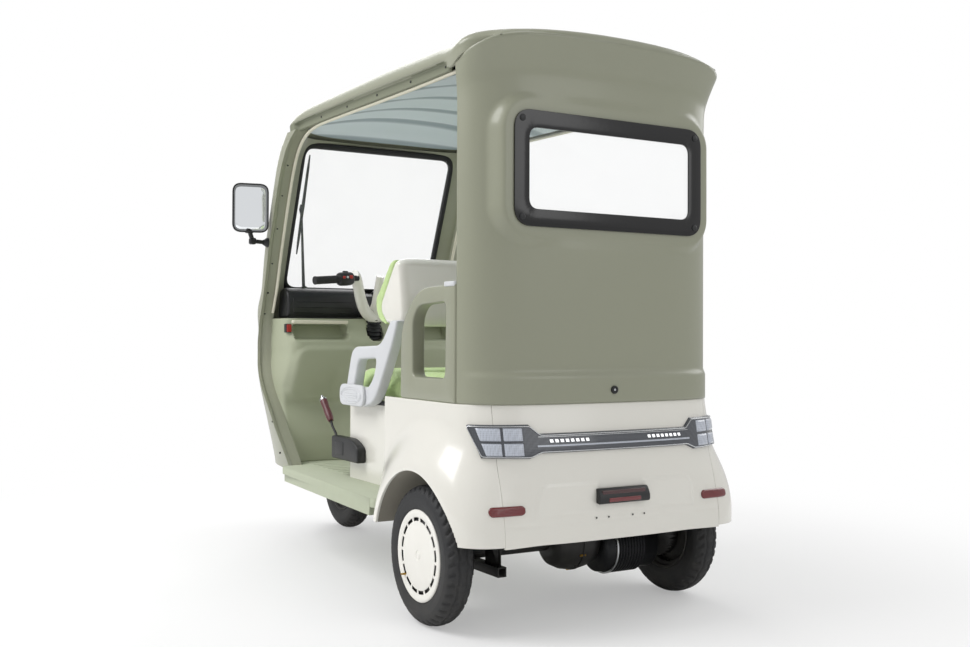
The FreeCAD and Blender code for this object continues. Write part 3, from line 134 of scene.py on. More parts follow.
def gridPiece(name, grid, material, ringRows=False, ringColumns=False, keep=None):
    faces = gridFaces(*grid.shape[:2], ringRows, ringColumns, keep)
    return meshPiece(name, grid, faces.tolist(), material)


def cleaned(piece, outwards=True, sharp=None):
    # merges doubles, closes poles and turns the faces outwards
    work = bmesh.new()
    work.from_mesh(piece.data)
    bmesh.ops.remove_doubles(work, verts=work.verts, dist=1e-6)
    bmesh.ops.dissolve_degenerate(work, edges=work.edges, dist=1e-6)
    if outwards:
        bmesh.ops.recalc_face_normals(work, faces=work.faces)
    loose = [v for v in work.verts if not v.link_faces]
    bmesh.ops.delete(work, geom=loose, context="VERTS")
    work.to_mesh(piece.data)
    work.free()
    if sharp:
        piece.data.set_sharp_from_angle(angle=math.radians(sharp))
    return piece


def facing(piece, direction, index=None):
    # turns all faces round if the one at the index, or the middle one, looks away from the direction
    faces = piece.data.polygons
    face = faces[len(faces) // 2 if index is None else index]
    if face.normal.dot(Vector(direction)) < 0:
        piece.data.flip_normals()
    return piece


def walled(piece, thickness, offset=-1.0):
    wall = piece.modifiers.new("wall", "SOLIDIFY")
    wall.thickness, wall.offset, wall.use_even_offset = thickness, offset, True
    return piece


def bevelled(piece, width, segments=3, angle=35):
    edge = piece.modifiers.new("edge", "BEVEL")
    edge.width, edge.segments, edge.limit_method = width, segments, "ANGLE"
    edge.angle_limit, edge.harden_normals = math.radians(angle), False
    return piece


def joined(name, pieces):
    # one object from several, with each piece's own materials
    with bpy.context.temp_override(active_object=pieces[0], selected_editable_objects=pieces,
                                   selected_objects=pieces):
        bpy.ops.object.join()
    pieces[0].name = name
    pieces[0].data.name = name
    return pieces[0]


def mirroredAcross(piece, name):
    # the same piece on the vehicle's other side, with its faces turned back outwards
    twin = piece.copy()
    twin.data = piece.data.copy()
    twin.name = twin.data.name = name
    bpy.context.scene.collection.objects.link(twin)
    twin.data.transform(Matrix.Scale(-1, 4, Vector((1, 0, 0))))
    twin.data.flip_normals()
    return twin


def rounds(path, radius, sides=14, flatten=1.0, up=(0, 0, 1)):
    # a ring of points carried along a path: each ring stands across the path's direction
    path = np.array(path, float)
    radius = np.broadcast_to(np.asarray(radius, float), (len(path),))
    run = directions(path)
    across = np.cross(run, np.array(up, float))
    across /= np.linalg.norm(across, axis=1)[:, None]
    lift = np.cross(across, run)
    turn = fullTurn(sides)[None, :, None]
    ring = np.cos(turn) * across[:, None] + flatten * np.sin(turn) * lift[:, None]
    return path[:, None] + radius[:, None, None] * ring


def closedRod(name, path, radius, material, sides=14, flatten=1.0, up=(0, 0, 1)):
    # a rod whose ends close on their middle points
    rings = rounds(path, radius, sides, flatten, up)
    first, last = np.array(path[0], float), np.array(path[-1], float)
    caps = [np.broadcast_to(first, (1, sides, 3)), rings, np.broadcast_to(last, (1, sides, 3))]
    return cleaned(gridPiece(name, np.concatenate(caps), material, ringColumns=True), sharp=40)


def closedBead(name, path, material, up=(0, 0, 1), radius=0.0016, sides=8):
    # a thin bead along a loop whose last point repeats its first
    rings = rounds(path, radius, sides, up=up)[:-1]
    return cleaned(gridPiece(name, rings, material, ringRows=True, ringColumns=True))


def roundedBlock(name, low, high, radius, material, steps=5):
    # each eighth of a ball moves out to its own corner of the block
    low, high = np.array(low, float), np.array(high, float)
    quarter = np.linspace(0, math.pi / 2, steps)
    turn = np.concatenate([quarter + q * math.pi / 2 for q in range(4)])
    rise = np.concatenate([quarter - math.pi / 2, quarter])
    sign = np.stack([np.tile(np.repeat([1, -1, -1, 1], steps), (2 * steps, 1)),
                     np.tile(np.repeat([1, 1, -1, -1], steps), (2 * steps, 1)),
                     np.tile(np.repeat([-1, 1], steps)[:, None], (1, 4 * steps))], -1)
    t, r = np.meshgrid(turn, rise)
    ball = np.stack([np.cos(r) * np.cos(t), np.cos(r) * np.sin(t), np.sin(r)], -1)
    grid = (low + high) / 2 + sign * ((high - low) / 2 - radius) + ball * radius
    foot, head = grid[:1].copy(), grid[-1:].copy()
    foot[..., :2] = head[..., :2] = ((low + high) / 2)[:2]
    return cleaned(gridPiece(name, np.concatenate([foot, grid, head]), material, ringColumns=True), sharp=50)


def turned(name, profile, centre, axis, material, sides=64, sharp=35):
    # a profile of (along the axis, radius) spun about an axis of the frame
    profile = np.array(profile, float)
    angle = fullTurn(sides)
    order = {"x": (0, 1, 2), "y": (1, 2, 0), "z": (2, 0, 1)}[axis]
    grid = np.zeros((len(profile), sides, 3))
    grid[..., order[0]] = profile[:, :1]
    grid[..., order[1]] = profile[:, 1:] * np.cos(angle)
    grid[..., order[2]] = profile[:, 1:] * np.sin(angle)
    return cleaned(gridPiece(name, grid + np.array(centre), material, ringColumns=True), sharp=sharp)


def placed(piece, place):
    piece.data.transform(place)
    if place.determinant() < 0:
        piece.data.flip_normals()
    return piece


def roundCorners(corners, radii, steps=6):
    # each corner becomes a short curve between points a radius before and after it
    corners = np.array(corners, float)
    radii = np.broadcast_to(np.asarray(radii, float), (len(corners),))
    out = []
    for i, corner in enumerate(corners):
        before, after = corners[i - 1] - corner, corners[(i + 1) % len(corners)] - corner
        reach = min(radii[i], 0.49 * np.linalg.norm(before), 0.49 * np.linalg.norm(after))
        a = corner + before / np.linalg.norm(before) * reach
        b = corner + after / np.linalg.norm(after) * reach
        for share in np.linspace(0, 1, steps if reach > 1e-5 else 1):
            out.append((1 - share) ** 2 * a + 2 * share * (1 - share) * corner + share ** 2 * b)
    return np.array(out)


def smoothCopy(node, material, angle=30):
    # a CAD part's own form with its triangles merged and smoothly shaded
    piece = nodes[node].copy()
    piece.data = nodes[node].data.copy()
    piece.name = piece.data.name = node + "Form"
    piece.parent = None
    bpy.context.scene.collection.objects.link(piece)
    piece.data.materials.clear()
    piece.data.materials.append(material)
    cleaned(piece, outwards=False)
    piece.data.polygons.foreach_set("use_smooth", [True] * len(piece.data.polygons))
    piece.data.set_sharp_from_angle(angle=math.radians(angle))
    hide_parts(node)
    return piece


# Node tools
def fill(tree, node, inputs):
    # inputs given as sockets are linked, plain values are set
    for key, value in inputs.items():
        if isinstance(value, bpy.types.NodeSocket):
            tree.links.new(value, node.inputs[key])
        else:
            node.inputs[key].default_value = value
    return node


def addNode(tree, kind, inputs=None, **settings):
    node = tree.nodes.new(kind)
    for key, value in settings.items():
        setattr(node, key, value)
    return fill(tree, node, inputs or {})


def maths(tree, operation, *values):
    return addNode(tree, "ShaderNodeMath", dict(enumerate(values)), operation=operation).outputs[0]


def newMaterial(name):
    material = bpy.data.materials.new(name)
    material.use_nodes = True
    return material, material.node_tree, material.node_tree.nodes["Principled BSDF"]


def seenDirectly(tree):
    # 1 for camera rays and for rays that pass through clear sheet
    path = addNode(tree, "ShaderNodeLightPath")
    return maths(tree, "MAXIMUM", path.outputs["Is Camera Ray"], path.outputs["Is Transmission Ray"])


# Camera, light and floor
cameraPlan = {"place": (2.0558, 3.8235, 0.8893), "yaw": 0.5312, "pitch": -0.0117, "roll": 0.0039,
              "lens": 40.80, "sensor": 36.0}


def makeCamera(plan):
    # the view direction turns by yaw from -Y towards -X and falls by pitch
    yaw, pitch, roll = plan["yaw"], plan["pitch"], plan["roll"]
    ahead = Vector((-math.sin(yaw) * math.cos(pitch), -math.cos(yaw) * math.cos(pitch), -math.sin(pitch)))
    right = ahead.cross(Vector((0, 0, 1))).normalized()
    above = right.cross(ahead)
    across = math.cos(roll) * right + math.sin(roll) * above
    above = -math.sin(roll) * right + math.cos(roll) * above
    camera = bpy.data.objects.new("rearCamera", bpy.data.cameras.new("rearCamera"))
    camera.matrix_world = Matrix((across, above, -ahead)).transposed().to_4x4()
    camera.location = plan["place"]
    camera.data.lens, camera.data.sensor_width = plan["lens"], plan["sensor"]
    camera.data.clip_start, camera.data.clip_end = 0.05, 200
    bpy.context.scene.collection.objects.link(camera)
    bpy.context.scene.camera = camera
    return camera


makeCamera(cameraPlan)

studio = {"lamps": [("keyLamp", (4.0, -0.9, 4.6), 3.2, 205), ("rearLamp", (-1.5, 5.5, 3.2), 3.0, 34),
                    ("frontLamp", (-1.0, -5.0, 4.0), 3.5, 90), ("rightLamp", (-4.5, 0.5, 3.5), 3.0, 50)],
          "aim": (0, 0, 0.9), "ambient": 0.60, "floorColour": 0.86}


def makeLamps(plan):
    for name, place, width, power in plan["lamps"]:
        lamp = bpy.data.objects.new(name, bpy.data.lights.new(name, "AREA"))
        lamp.data.energy, lamp.data.size = power, width
        lamp.location = place
        lamp.rotation_euler = (Vector(plan["aim"]) - Vector(place)).to_track_quat("-Z", "Y").to_euler()
        bpy.context.scene.collection.objects.link(lamp)


makeLamps(studio)


def makeWorld(ambient):
    # plain ambient light for the object, pure white for the camera and for see-through rays
    world = bpy.data.worlds.new("studioWorld")
    bpy.context.scene.world = world
    world.use_nodes = True
    tree = world.node_tree
    level = addNode(tree, "ShaderNodeMapRange", {"Value": seenDirectly(tree), "To Min": ambient,
                                                 "To Max": 1.0})
    fill(tree, tree.nodes["Background"], {"Strength": level.outputs[0], "Color": (1, 1, 1, 1)})


makeWorld(studio["ambient"])
bpy.context.scene.view_settings.view_transform = "Standard"


def makeFloor(colour):
    # a wide disc: it keeps the shadow near the vehicle and fades to the white of the background
    name = "studioFloor"
    turn, reach = fullTurn(96), np.array([0.001, 1.5, 3, 6, 12, 30, 90])[:, None]
    grid = np.stack([reach * np.cos(turn), reach * np.sin(turn), np.zeros((len(reach), len(turn)))], -1)
    material, tree, shader = newMaterial("paleFloor")
    fill(tree, shader, {"Base Color": (colour, colour, colour, 1), "Roughness": 0.85})
    glow = addNode(tree, "ShaderNodeEmission", {"Color": (1, 1, 1, 1)})
    where = addNode(tree, "ShaderNodeTexCoord").outputs["Object"]
    length = addNode(tree, "ShaderNodeVectorMath", {0: where}, operation="LENGTH")
    fade = addNode(tree, "ShaderNodeMapRange", {"Value": length.outputs["Value"], "From Min": 0.9,
                                                "From Max": 3.2, "To Min": 0.35, "To Max": 1.0},
                   interpolation_type="SMOOTHERSTEP")
    share = maths(tree, "MULTIPLY", seenDirectly(tree), fade.outputs[0])
    mix = addNode(tree, "ShaderNodeMixShader", {0: share, 1: shader.outputs[0], 2: glow.outputs[0]})
    fill(tree, tree.nodes["Material Output"], {"Surface": mix.outputs[0]})
    floor = gridPiece(name, grid, material, ringColumns=True)


makeFloor(studio["floorColour"])
print("camera, lamps and floor made")


# Finishes
def paint(text):
    # a web colour as linear light
    values = [int(text[i:i + 2], 16) / 255 for i in (1, 3, 5)]
    return tuple(v / 12.92 if v <= 0.04045 else ((v + 0.055) / 1.055) ** 2.4 for v in values) + (1.0,)


def makeGroup(name, inputs, outputs):
    group = bpy.data.node_groups.new(name, "ShaderNodeTree")
    for label, kind, value in inputs:
        group.interface.new_socket(name=label, in_out="INPUT", socket_type=kind).default_value = value
    for label, kind in outputs:
        group.interface.new_socket(name=label, in_out="OUTPUT", socket_type=kind)
    return group, group.nodes.new("NodeGroupInput"), group.nodes.new("NodeGroupOutput")


def makeDriftGroup():
    # colour drift: two soft noises lighten and darken a colour, and dust gathers on low places
    group, start, end = makeGroup("colourDrift", [
        ("Colour", "NodeSocketColor", (0.5, 0.5, 0.5, 1)),
                                                  ("Dust Colour", "NodeSocketColor", paint("#8E877A")),
        ("Scale", "NodeSocketFloat", 3.0), ("Amount", "NodeSocketFloat", 0.05),
        ("Dust", "NodeSocketFloat", 0.1), ("Dust Height", "NodeSocketFloat", 0.5)],
        [("Colour", "NodeSocketColor"), ("Mask", "NodeSocketFloat")])
    given = start.outputs
    where = addNode(group, "ShaderNodeTexCoord").outputs["Object"]
    wide = addNode(group, "ShaderNodeTexNoise", {"Vector": where, "Scale": given["Scale"], "Detail": 3.0})
    fine = addNode(group, "ShaderNodeTexNoise", {"Vector": where, "Scale": 160.0, "Detail": 2.0})
    level = maths(group, "SUBTRACT", maths(group, "ADD", wide.outputs[0], fine.outputs[0]), 1.0)
    lift = maths(group, "ADD", maths(group, "MULTIPLY", level, given["Amount"]), 1.0)
    toned = addNode(group, "ShaderNodeVectorMath", {0: given["Colour"], "Scale": lift}, operation="SCALE")
    height = addNode(group, "ShaderNodeSeparateXYZ", {0: where}).outputs["Z"]
    low = addNode(group, "ShaderNodeMapRange", {"Value": height, "From Min": 0.0,
                                                "From Max": given["Dust Height"], "To Min": 1.0,
                                                "To Max": 0.0})
    spots = addNode(group, "ShaderNodeTexNoise", {"Vector": where, "Scale": 22.0, "Detail": 6.0})
    share = maths(group, "MULTIPLY", maths(group, "MULTIPLY", low.outputs[0], spots.outputs[0]),
                  given["Dust"])
    mixed = addNode(group, "ShaderNodeMix", {0: share, 6: toned.outputs[0], 7: given["Dust Colour"]},
                    data_type="RGBA")
    fill(group, end, {"Colour": mixed.outputs[2], "Mask": share})
    return group


def makeGrainGroup():
    # moulded grain: small cells over a soft ripple, as a bump
    group, start, end = makeGroup("mouldedGrain", [
        ("Scale", "NodeSocketFloat", 700.0), ("Height", "NodeSocketFloat", 0.2),
        ("Ripple", "NodeSocketFloat", 0.05)], [("Normal", "NodeSocketVector"), ("Grain", "NodeSocketFloat")])
    given = start.outputs
    where = addNode(group, "ShaderNodeTexCoord").outputs["Object"]
    cells = addNode(group, "ShaderNodeTexVoronoi", {"Vector": where, "Scale": given["Scale"]})
    ripple = addNode(group, "ShaderNodeTexNoise", {"Vector": where, "Scale": 55.0, "Detail": 2.0})
    grain = addNode(group, "ShaderNodeBump", {"Height": cells.outputs["Distance"],
                                              "Strength": given["Height"], "Distance": 0.0006})
    soft = addNode(group, "ShaderNodeBump", {"Height": ripple.outputs[0], "Strength": given["Ripple"],
                                             "Normal": grain.outputs[0], "Distance": 0.004})
    fill(group, end, {"Normal": soft.outputs[0], "Grain": cells.outputs["Distance"]})
    return group


def makeHideGroup():
    # leather: pebbled cells with creases between them and a slow unevenness of the foam below
    group, start, end = makeGroup("hideGrain", [
        ("Scale", "NodeSocketFloat", 300.0), ("Height", "NodeSocketFloat", 0.35)],
        [("Normal", "NodeSocketVector"), ("Crease", "NodeSocketFloat")])
    given = start.outputs
    where = addNode(group, "ShaderNodeTexCoord").outputs["Object"]
    warp = addNode(group, "ShaderNodeTexNoise", {"Vector": where, "Scale": 90.0, "Detail": 2.0})
    moved = addNode(group, "ShaderNodeVectorMath",
                    {0: warp.outputs["Color"], 1: (0.004, 0.004, 0.004), 2: where}, operation="MULTIPLY_ADD")
    cells = addNode(group, "ShaderNodeTexVoronoi", {"Vector": moved.outputs[0], "Scale": given["Scale"]},
                    feature="DISTANCE_TO_EDGE")
    crease = addNode(group, "ShaderNodeMapRange", {"Value": cells.outputs[0], "From Max": 0.12})
    foam = addNode(group, "ShaderNodeTexNoise", {"Vector": where, "Scale": 14.0, "Detail": 3.0})
    pebble = addNode(group, "ShaderNodeBump", {"Height": crease.outputs[0], "Strength": given["Height"],
                                               "Distance": 0.0008})
    soft = addNode(group, "ShaderNodeBump", {"Height": foam.outputs[0], "Normal": pebble.outputs[0],
                                             "Distance": 0.006, "Strength": 0.25})
    fill(group, end, {"Normal": soft.outputs[0], "Crease": crease.outputs[0]})
    return group


driftGroup, grainGroup, hideGroup = makeDriftGroup(), makeGrainGroup(), makeHideGroup()
finishes = {}


def newFinish(name):
    finishes[name], tree, shader = newMaterial(name)
    return tree, shader


def moulded(name, colour, rough, drift=0.05, dust=0.1, dustHeight=0.5, grain=700.0, height=0.12, ripple=0.03,
            coat=0.0, metal=0.0):
    # painted, moulded or bare surface: drifting colour, grain bump, and roughness that grows with the dust
    tree, shader = newFinish(name)
    tone = addNode(tree, "ShaderNodeGroup", {"Colour": paint(colour), "Amount": drift, "Dust": dust,
                                             "Dust Height": dustHeight}, node_tree=driftGroup)
    bump = addNode(tree, "ShaderNodeGroup", {"Scale": grain, "Height": height, "Ripple": ripple},
                   node_tree=grainGroup)
    level = addNode(tree, "ShaderNodeMapRange", {"Value": tone.outputs["Mask"], "From Max": 0.5,
                                                 "To Min": rough, "To Max": min(rough + 0.38, 1)})
    fill(tree, shader, {"Base Color": tone.outputs["Colour"], "Roughness": level.outputs[0],
                        "Normal": bump.outputs["Normal"], "Metallic": metal, "Coat Weight": coat,
                        "Coat Roughness": 0.12})


def leather(name, colour, crease, rough=0.48):
    # coated fabric: pebbled grain whose creases are painted a little darker as shade, and duller
    tree, shader = newFinish(name)
    tone = addNode(tree, "ShaderNodeGroup", {"Colour": paint(colour), "Amount": 0.06, "Dust": 0.0},
                   node_tree=driftGroup)
    hide = addNode(tree, "ShaderNodeGroup", node_tree=hideGroup)
    # painted shade: the crease colour darkens the grain's creases
    shadedTone = addNode(tree, "ShaderNodeMix", {0: hide.outputs["Crease"], 6: paint(crease),
                                           7: tone.outputs["Colour"]},
                   data_type="RGBA")
    level = addNode(tree, "ShaderNodeMapRange", {"Value": hide.outputs["Crease"], "To Min": rough + 0.15,
                                                 "To Max": rough})
    fill(tree, shader, {"Base Color": shadedTone.outputs[2], "Roughness": level.outputs[0],
                        "Normal": hide.outputs["Normal"]})


def banded(name, light, shadedTone, pitch, start, rough):
    # sheet with broad ribs across: the hollows between them are painted darker as shade, and its weave shows
    # as a bump
    tree, shader = newFinish(name)
    where = addNode(tree, "ShaderNodeTexCoord").outputs["Object"]
    y = addNode(tree, "ShaderNodeSeparateXYZ", {0: where}).outputs["Y"]
    wave = maths(tree, "SINE", maths(tree, "MULTIPLY_ADD", y, 2 * math.pi / pitch, start))
    share = addNode(tree, "ShaderNodeMapRange", {"Value": wave, "From Min": 0.25, "From Max": 0.98},
                    interpolation_type="SMOOTHSTEP")
    tone = addNode(tree, "ShaderNodeMix", {0: share.outputs[0], 6: paint(light), 7: paint(shadedTone)},
                   data_type="RGBA")
    grain = addNode(tree, "ShaderNodeGroup", {"Scale": 420.0, "Height": 0.3}, node_tree=grainGroup)
    fill(tree, shader, {"Base Color": tone.outputs[2], "Normal": grain.outputs["Normal"], "Roughness": rough})


def clear(name, colour, rough, alpha):
    # thin clear sheet: mostly see-through, with faint dust that shows as alpha and roughness
    tree, shader = newFinish(name)
    where = addNode(tree, "ShaderNodeTexCoord").outputs["Object"]
    smear = addNode(tree, "ShaderNodeTexNoise", {"Vector": where, "Scale": 9.0, "Detail": 5.0}).outputs[0]
    see = addNode(tree, "ShaderNodeMapRange", {"Value": smear, "To Min": alpha, "To Max": alpha + 0.03})
    film = addNode(tree, "ShaderNodeMapRange", {"Value": smear, "To Min": rough, "To Max": rough + 0.06})
    fill(tree, shader, {"Base Color": paint(colour), "Alpha": see.outputs[0], "Roughness": film.outputs[0],
                        "Specular IOR Level": 0.5})


def lamp(name, colour, rough, cells, glow=0.0):
    # moulded lens: rows of small prisms behind a glossy face, each prism painted lighter towards its edges as
    # a glint
    tree, shader = newFinish(name)
    where = addNode(tree, "ShaderNodeTexCoord").outputs["Object"]
    scaled = addNode(tree, "ShaderNodeMapping", {"Vector": where, "Scale": (cells, cells, cells)})
    prism = addNode(tree, "ShaderNodeTexVoronoi", {"Vector": scaled.outputs[0], "Scale": 1.0,
                                                   "Randomness": 0.15})
    base = paint(colour)
    # painted glint: a lighter copy of the lens colour towards each prism's edge
    glintTone = tuple(min(v * 1.6 + 0.02, 1) for v in base[:3]) + (1,)
    tone = addNode(tree, "ShaderNodeMix", {0: prism.outputs["Distance"], 6: base, 7: glintTone},
                   data_type="RGBA")
    bump = addNode(tree, "ShaderNodeBump", {"Height": prism.outputs["Distance"], "Strength": 0.35,
                                            "Distance": 0.002})
    fill(tree, shader, {"Base Color": tone.outputs[2], "Normal": bump.outputs[0], "Roughness": rough,
                        "Coat Weight": 0.6, "Coat Roughness": 0.05})
    if glow:
        fill(tree, shader, {"Emission Color": tone.outputs[2], "Emission Strength": glow})


# darker sage for the roof's screw channel: painted shade under the roof's bulge; the channel's own paint is
# the same sage
moulded("sageGrooveShade", "#757965", 0.5, drift=0.03, dust=0.05, height=0.1)
moulded("sagePanel", "#929481", 0.36, drift=0.03, dust=0.05, height=0.05, ripple=0.03, coat=0.25)
moulded("sageInner", "#A6AB93", 0.5, drift=0.04, dust=0.12, height=0.25)
moulded("floorPlastic", "#B4BBA4", 0.55, drift=0.05, dust=0.25, dustHeight=0.6, height=0.35)
moulded("creamPanel", "#E3E1D9", 0.25, drift=0.02, dust=0.08, dustHeight=0.4, height=0.03, ripple=0.02,
        coat=0.5)
moulded("creamTrim", "#DCD8C6", 0.42, drift=0.03, dust=0.05, height=0.1)
moulded("blackPlastic", "#1B1C1E", 0.42, drift=0.2, dust=0.15, height=0.3)
moulded("blackGloss", "#0A0A0C", 0.14, drift=0.1, dust=0.02, height=0.02, coat=0.3)
moulded("blackRubber", "#17181A", 0.6, drift=0.2, dust=0.1, height=0.2)
moulded("blackSteel", "#101113", 0.42, drift=0.3, dust=0.12, dustHeight=0.7, height=0.15, metal=0.2)
moulded("greyAlloy", "#26282C", 0.36, drift=0.2, dust=0.1, height=0.3, metal=0.7)
moulded("brightSteel", "#C4C6C8", 0.25, drift=0.08, dust=0.1, height=0.05, metal=1.0)
moulded("whitePlastic", "#CFD1D4", 0.4, drift=0.02, dust=0.05, height=0.2)
moulded("tyreRubber", "#1B1D21", 0.62, drift=0.25, dust=0.16, dustHeight=0.5, grain=260.0, height=0.25)
moulded("capPlastic", "#EDEBE4", 0.3, drift=0.02, dust=0.15, dustHeight=0.5, height=0.05, coat=0.4)
moulded("rimPaint", "#26282B", 0.4, drift=0.1, dust=0.4, height=0.1, metal=0.4)
moulded("batteryCase", "#3A3D42", 0.5, drift=0.1, dust=0.1, height=0.3)
moulded("redButton", "#A81E18", 0.35, drift=0.05, dust=0.0, height=0.05, coat=0.3)
moulded("gripMaroon", "#5A2A2E", 0.4, drift=0.1, dust=0.05, height=0.1)
moulded("linerTaupe", "#7A766B", 0.6, drift=0.1, dust=0.3, dustHeight=0.6, height=0.3)
moulded("brassPaint", "#B08A3C", 0.3, drift=0.1, dust=0.1, height=0.05, metal=1.0)
# ceiling sheet: the darker colour in its rib hollows is painted shade
banded("ceilingSheet", "#C9D5DA", "#8E9DA3", 0.27, 0.4, 0.55)
leather("seatGreen", "#C3DA9C", "#A8C07F")
leather("seatCream", "#E6E3D2", "#CFCBB6")
clear("windowSheet", "#E8F0F0", 0.03, 0.05)
clear("rearWindowSheet", "#E8F0F0", 0.03, 0.05)
lamp("clearLens", "#A3A8B2", 0.12, 160.0)
lamp("smokedLens", "#3B3E44", 0.1, 220.0)
lamp("redLens", "#5C0E13", 0.16, 230.0)
lamp("redStrip", "#35090D", 0.18, 230.0)
lamp("ledWhite", "#F4F6FA", 0.3, 300.0, glow=0.7)
# mirror glass: its faint emission is a painted reflection that brightens it though it is no lamp
moulded("mirrorFacePaintedGlow", "#E9ECEF", 0.04, drift=0.0, dust=0.02, height=0.0, ripple=0.0, metal=1.0)
mirrorGlowTree = finishes["mirrorFacePaintedGlow"].node_tree
fill(mirrorGlowTree, mirrorGlowTree.nodes["Principled BSDF"],
     {"Emission Color": paint("#E9ECEF"), "Emission Strength": 0.22})
print("finishes made:", len(finishes))


# Cabin shell: rear wall and roof
def planNormals(run):
    # the outward side of a plan curve that runs from the vehicle's left round the rear to its right
    step = directions(run)
    return np.stack([step[:, 1], -step[:, 0]], -1)


def backCurve(plan, back, limit, count):
    # a squarish ellipse of power four round the rear with a slight crown, and straight sides ahead of it
    turn = np.linspace(0, math.pi, 3001)
    x = plan["half"] * np.sign(np.cos(turn)) * np.abs(np.cos(turn)) ** 0.5
    y = back - plan["depth"] + plan["depth"] * np.abs(np.sin(turn)) ** 0.5
    y = y - plan["crown"] * (x / plan["half"]) ** 2
    run = np.stack([x, y], -1)[y > limit]
    return evenRun(np.vstack([[run[0, 0], limit], run, [-run[0, 0], limit]]), count)


roofPlan = {"front": -0.620, "rear": 1.158, "half": 0.475, "rail": 1.722, "railDrop": 0.022, "lip": 0.080,
            "top": 1.846, "rearDrop": 0.030, "sweep": 0.062, "wall": 0.012, "channelEnd": 0.924,
            "lead": 0.105, "crown": 0.136, "flange": 0.041, "grooveShadeHigh": 0.0290, "tailBow": 0.050,
            "tailHigh": 0.034}


def railHeight(y, plan=roofPlan):
    # lower edge of the roof: it falls a little to the rear, then rises along the visor's lip
    share = np.clip((y - 0.94) / (plan["rear"] - 0.94), 0, 1)
    return plan["rail"] - plan["railDrop"] * smoothStep(y, -0.45, 0.9) + plan["lip"] * share ** 0.9


def roundedDistance(x, z, halfX, halfZ, radius):
    # distance outwards from a rounded rectangle round the origin
    dx, dz = np.abs(x) - halfX + radius, np.abs(z) - halfZ + radius
    return np.hypot(np.maximum(dx, 0), np.maximum(dz, 0)) + np.minimum(np.maximum(dx, dz), 0) - radius


rearWallPlan = {"half": 0.475, "depth": 0.24, "crown": 0.014, "back": 1.098, "seam": 0.955, "low": 0.688,
                "crease": 0.776, "creaseOut": 0.012, "visorOut": 0.060, "wall": 0.022, "plateau": 1.094,
                "windowLow": 1.215, "windowHigh": 1.561, "windowHalf": 0.357, "windowEdge": 0.026,
                "shoulder": 0.036, "cornerRadius": 0.085, "opening": 0.030,
                "visorSide": 0.16, "visorHigh": 0.088, "behind": 1.0, "columns": 204, "rows": 150}


def makeRearWall(plan):
    # grid of plan curve by height; outwards it adds the visor's flare and the waist's bulge,
    # and a flat plateau rises out of the rounded corners round the window
    run = backCurve(plan, plan["back"], plan["seam"], plan["columns"])
    normal = planNormals(run)
    share = np.linspace(0, 1, plan["rows"])[:, None]
    rearward = smoothStep(run[:, 1], plan["seam"], plan["back"] - 0.02)
    spread = plan["visorSide"] + (1 - plan["visorSide"]) * rearward
    lip = railHeight(run[:, 1] + normal[:, 1] * plan["visorOut"] * spread) - 0.0008
    z = plan["low"] + share * (lip - plan["low"])[None]
    rise = (z - (lip[None] - plan["visorHigh"])) / plan["visorHigh"]
    flare = plan["visorOut"] * (rise + np.sqrt(rise ** 2 + 0.08)) / 2.04
    bulge = plan["creaseOut"] * (1 - smoothStep(z, plan["crease"] - 0.010, plan["crease"] + 0.012))
    out = flare * spread + bulge * rearward
    x = run[None, :, 0] + normal[None, :, 0] * out
    y = run[None, :, 1] + normal[None, :, 1] * out
    middle = (plan["windowLow"] + plan["windowHigh"]) / 2
    halfZ = (plan["windowHigh"] - plan["windowLow"]) / 2
    away = roundedDistance(x, z - middle, plan["windowHalf"] + plan["windowEdge"], halfZ + plan["windowEdge"],
                           plan["cornerRadius"])
    lift = (1 - smoothStep(away, 0, plan["shoulder"])) * (y > plan["behind"])
    y = y + (plan["plateau"] - y) * lift
    grid = np.stack([x, y, z], -1)
    centre = (grid[:-1, :-1] + grid[1:, 1:]) / 2
    inside = roundedDistance(centre[..., 0], centre[..., 2] - middle, plan["windowHalf"] - plan["opening"],
                             halfZ - plan["opening"], 0.05)
    keep = (inside > 0) | (centre[..., 1] < plan["behind"])
    piece = gridPiece("rearWall", grid, finishes["sagePanel"], keep=keep)
    walled(cleaned(piece), plan["wall"])
    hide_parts("rear_panel")
    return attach(piece, "chassis")


makeRearWall(rearWallPlan)


def roofHalf(y, plan):
    # half width: drawn in at both ends, a little wider over the rear wall's flare
    nose = 0.030 * smoothStep(plan["front"] - y, -0.11, 0) ** 2
    tail = 0.075 * smoothStep(y, plan["rear"] - 0.16, plan["rear"]) ** 2
    return plan["half"] + 0.010 * smoothStep(y, 0.85, 1.02) - (nose + tail)


